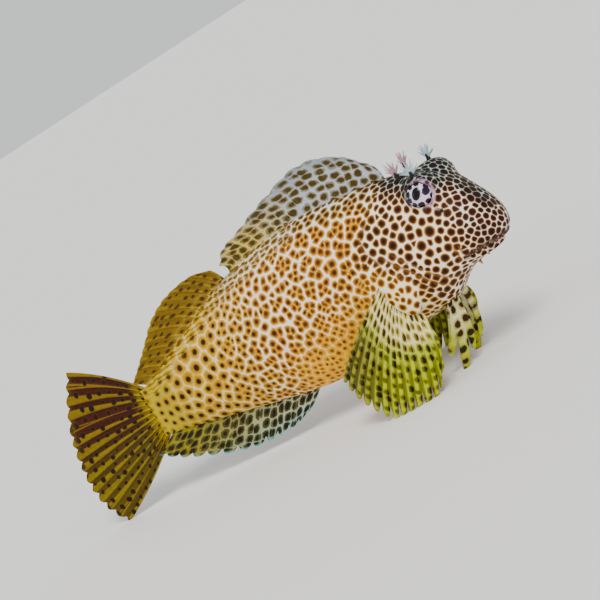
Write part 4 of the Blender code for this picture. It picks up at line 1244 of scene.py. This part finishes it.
def finPaint(kind):
    # rays and webs by the fin's own map: U counts the rays, V runs out along them in millimetres
    paint, s = newPaint(kind + " fin")
    look = {**plainFin, **finLooks[kind]}
    rayAcross, rayAlong, _ = s.uvMap("web").axes()
    ridge, outward, order = [s.attribute(name) for name in ("rayRidge", "outward", "order")]
    place = s.objectPoint()
    grain = place.noise(1.2, 3.0, 0.6)
    fuzz = grain - 0.5
    tipward = outward.ease(*look["turn"])
    rear = order.ease(*look["rear"]) * outward.ease(*look["rearFrom"])

    def shaded(name):
        low, high, *last = look[name]
        colour = tipward.between(low, high)
        return rear.between(colour, last[0]) if last else colour

    # the cells of the net, each with a spot at its heart
    sway = place.noise(0.7, 2.0, 0.5, "Color").vector("SUBTRACT", {1: (0.5, 0.5, 0.5)})
    sway = sway.vector("SCALE", {"Scale": look["wander"]})
    point = s.make("ShaderNodeCombineXYZ", {}, {
        0: rayAcross * look["across"] + look["shift"], 1: rayAlong / look["pitch"]}).vector("ADD", {1: sway})
    near, chance = point.cells(1.0, look["random"], "F1", ("Distance", "Color"), "2D")
    edge = point.cells(1.0, look["random"], "DISTANCE_TO_EDGE", "Distance", "2D")
    luck, _, _ = chance.axes()
    inward = s.make("ShaderNodeMath", {"operation": "SMOOTH_MIN"}, {
        0: edge - look["line"] + fuzz * 0.06, 1: 0.52 + fuzz * 0.15 - near, 2: 0.12})
    beyond = near - look["dot"] - (luck - 0.5) * look["dotLuck"] + fuzz * 0.14
    dots = beyond.ease(*look["dotEdge"])

    rayNumber = rayAcross.maths("ROUND")
    rayLuck = s.make("ShaderNodeTexWhiteNoise", {"noise_dimensions": "1D"}, {"W": rayNumber}, "Value")
    rayMask = (ridge + (rayLuck - 0.5) * look["vary"]).ease(*look["rayEdge"])
    colour = rayMask.between(shaded("web"), shaded("ray"))
    colour = colour.tinted(grain.ease(0.35, 0.7) * 0.35, softGrey)
    colour = colour.tinted(rayLuck * look["vary"], look["rayTint"])
    netMask = inward.ease(*look["netEdge"]) * outward.ease(*look["netFade"])
    colour = netMask.between(colour, shaded("net"))
    colour = (beyond.ease(*look["haloEdge"]) * look["haloShare"]).between(colour, look["halo"])
    colour = (dots * (1 - rayMask * look["rayClear"])).between(colour, shaded("dots"))
    tip = outward.ease(*look["tipEdge"]) * (1 - rear * 0.6) * look["edging"]
    colour = tip.between(colour, look["tip"])
    clear = (1 - rayMask) * outward.ease(*look["clearFrom"]) * (1 - dots * 0.9) * look["clear"]
    joints = (rayAlong * look["joints"]).maths("SINE") * ridge
    relief = joints * 0.25 + grain * 0.8 + ridge * 0.5
    wire(paint, BaseColor=colour, Roughness=0.38 + grain * 0.22, Alpha=1 - clear,
         Normal=relief.bump(look["bump"]), SpecularIORLevel=0.10, CoatWeight=0.03, CoatRoughness=0.2)
    return paint


# build everything

skinPiece, nostril, opening = makeSkin()
finishPiece(skinPiece, skinPaint(), ["head", "trunk", "tail"])

eyeMaterial, lidMaterial = eyePaint(), lidPaint()
for side, word in bothSides:
    makeEye(side, word, eyeMaterial)
    makeLid(side, word, lidMaterial)

tuftPaints = {kind: tuftPaint(kind) for kind in tufts}
browTop = moundCentre() + Vector((0.2, 0.0, eye["mound"] + 0.1))
napeRoot = (39.0, 2.6, 43.0)
noseRoot = nostril + opening * 0.1 + Vector((-0.5, 0.3, 0.35))
for side, word in bothSides:
    makeTuft("eye", side, word, browTop, ["eye_cirrus_" + word])
    makeTuft("nape", side, word, napeRoot, ["nape_cirrus_" + word])
    makeNostril("nostril_" + word, mirrored(nostril, side), mirrored(opening, side), lidMaterial)
    makeTuft("nose", side, word, noseRoot, [])
    makeBarbel("barbel_" + word, side, tuftPaints["nose"])
print("the eyes and tufts are in place")

paints = {kind: finPaint(kind) for kind in finLooks}
makeFin("spiny_dorsal", "spiny", 1, paints["spiny"], ["dorsal_fin_spiny"])
makeFin("soft_dorsal", "soft", 1, paints["soft"], ["dorsal_fin_soft"])
for kind in ("anal", "caudal"):
    makeFin(kind, kind, 1, paints[kind], [kind + "_fin"])
for side, word in bothSides:
    for kind in ("pectoral", "pelvic"):
        makeFin(kind + "_" + word, kind, side, paints[kind], [kind + "_fin_" + word])
print("the fins are in place")


# floor, light and camera

studio = {
    "floor": 12.0, "below": 0.05 * mm, "tone": (0.80, 0.79, 0.77), "wornTone": (0.776, 0.7663, 0.7469),
    "world": (0.86, 0.87, 0.89), "worldPower": 0.95,
    # where the light comes from, how wide in degrees, its power and its colour
    "suns": {
        "key": ((0.45, -0.55, 0.85), 22, 2.80, (1.0, 0.98, 0.95)),
        "fill": ((-0.75, -0.55, 0.45), 40, 0.6, (0.93, 0.96, 1.0)),
        "front": ((0.55, -0.85, 0.10), 40, 1.0, (1.0, 1.0, 1.0)),
    },
}
camera = {"azimuth": 30, "elevation": 10, "roll": 33, "distance": 365, "lens": 100, "sensor": 36,
          "target": (2, 0, 29)}


def makeFloor():
    deselectAll()
    bpy.ops.mesh.primitive_circle_add(vertices=96, radius=studio["floor"], fill_type="NGON",
                                      location=(0, 0, -studio["below"]))
    floor = bpy.context.object
    floor.name = "floor"
    paint, s = newPaint("pale floor")
    wear = s.objectPoint(1).noise(14.0, 4.0).ease(0.3, 0.7) * 0.5
    wire(paint, BaseColor=wear.between(studio["tone"], studio["wornTone"]), Roughness=0.65)
    floor.data.materials.append(paint)


def makeStudio():
    # even light over the whole floor, as from very large softboxes
    world = bpy.data.worlds.new("studio")
    world.use_nodes = True
    background = world.node_tree.nodes["Background"]
    background.inputs["Color"].default_value = (*studio["world"], 1)
    background.inputs["Strength"].default_value = studio["worldPower"]
    bpy.context.scene.world = world
    for name, (source, angle, power, colour) in studio["suns"].items():
        lamp = bpy.data.lights.new(name, "SUN")
        lamp.angle, lamp.energy, lamp.color = math.radians(angle), power, colour
        obj = bpy.data.objects.new(name, lamp)
        obj.rotation_euler = Vector(source).to_track_quat("Z", "Y").to_euler()
        bpy.context.scene.collection.objects.link(obj)


def makeCamera():
    a, e, r = (math.radians(camera[key]) for key in ("azimuth", "elevation", "roll"))
    back = Vector((math.sin(a) * math.cos(e), -math.cos(a) * math.cos(e), math.sin(e)))
    right = Vector((math.cos(a), math.sin(a), 0))
    up = back.cross(right)
    turnedRight = right * math.cos(r) - up * math.sin(r)
    turnedUp = right * math.sin(r) + up * math.cos(r)
    lens = bpy.data.cameras.new("camera")
    lens.lens, lens.sensor_width, lens.clip_start = camera["lens"], camera["sensor"], 0.01
    obj = bpy.data.objects.new("camera", lens)
    bpy.context.scene.collection.objects.link(obj)
    target = (Vector(camera["target"]) + Vector(shift)) * mm
    place = Matrix((turnedRight, turnedUp, back)).transposed().to_4x4()
    place.translation = target + back * camera["distance"] * mm
    obj.matrix_world = place
    bpy.context.scene.camera = obj


makeFloor()
makeStudio()
makeCamera()

bpy.context.view_layer.update()
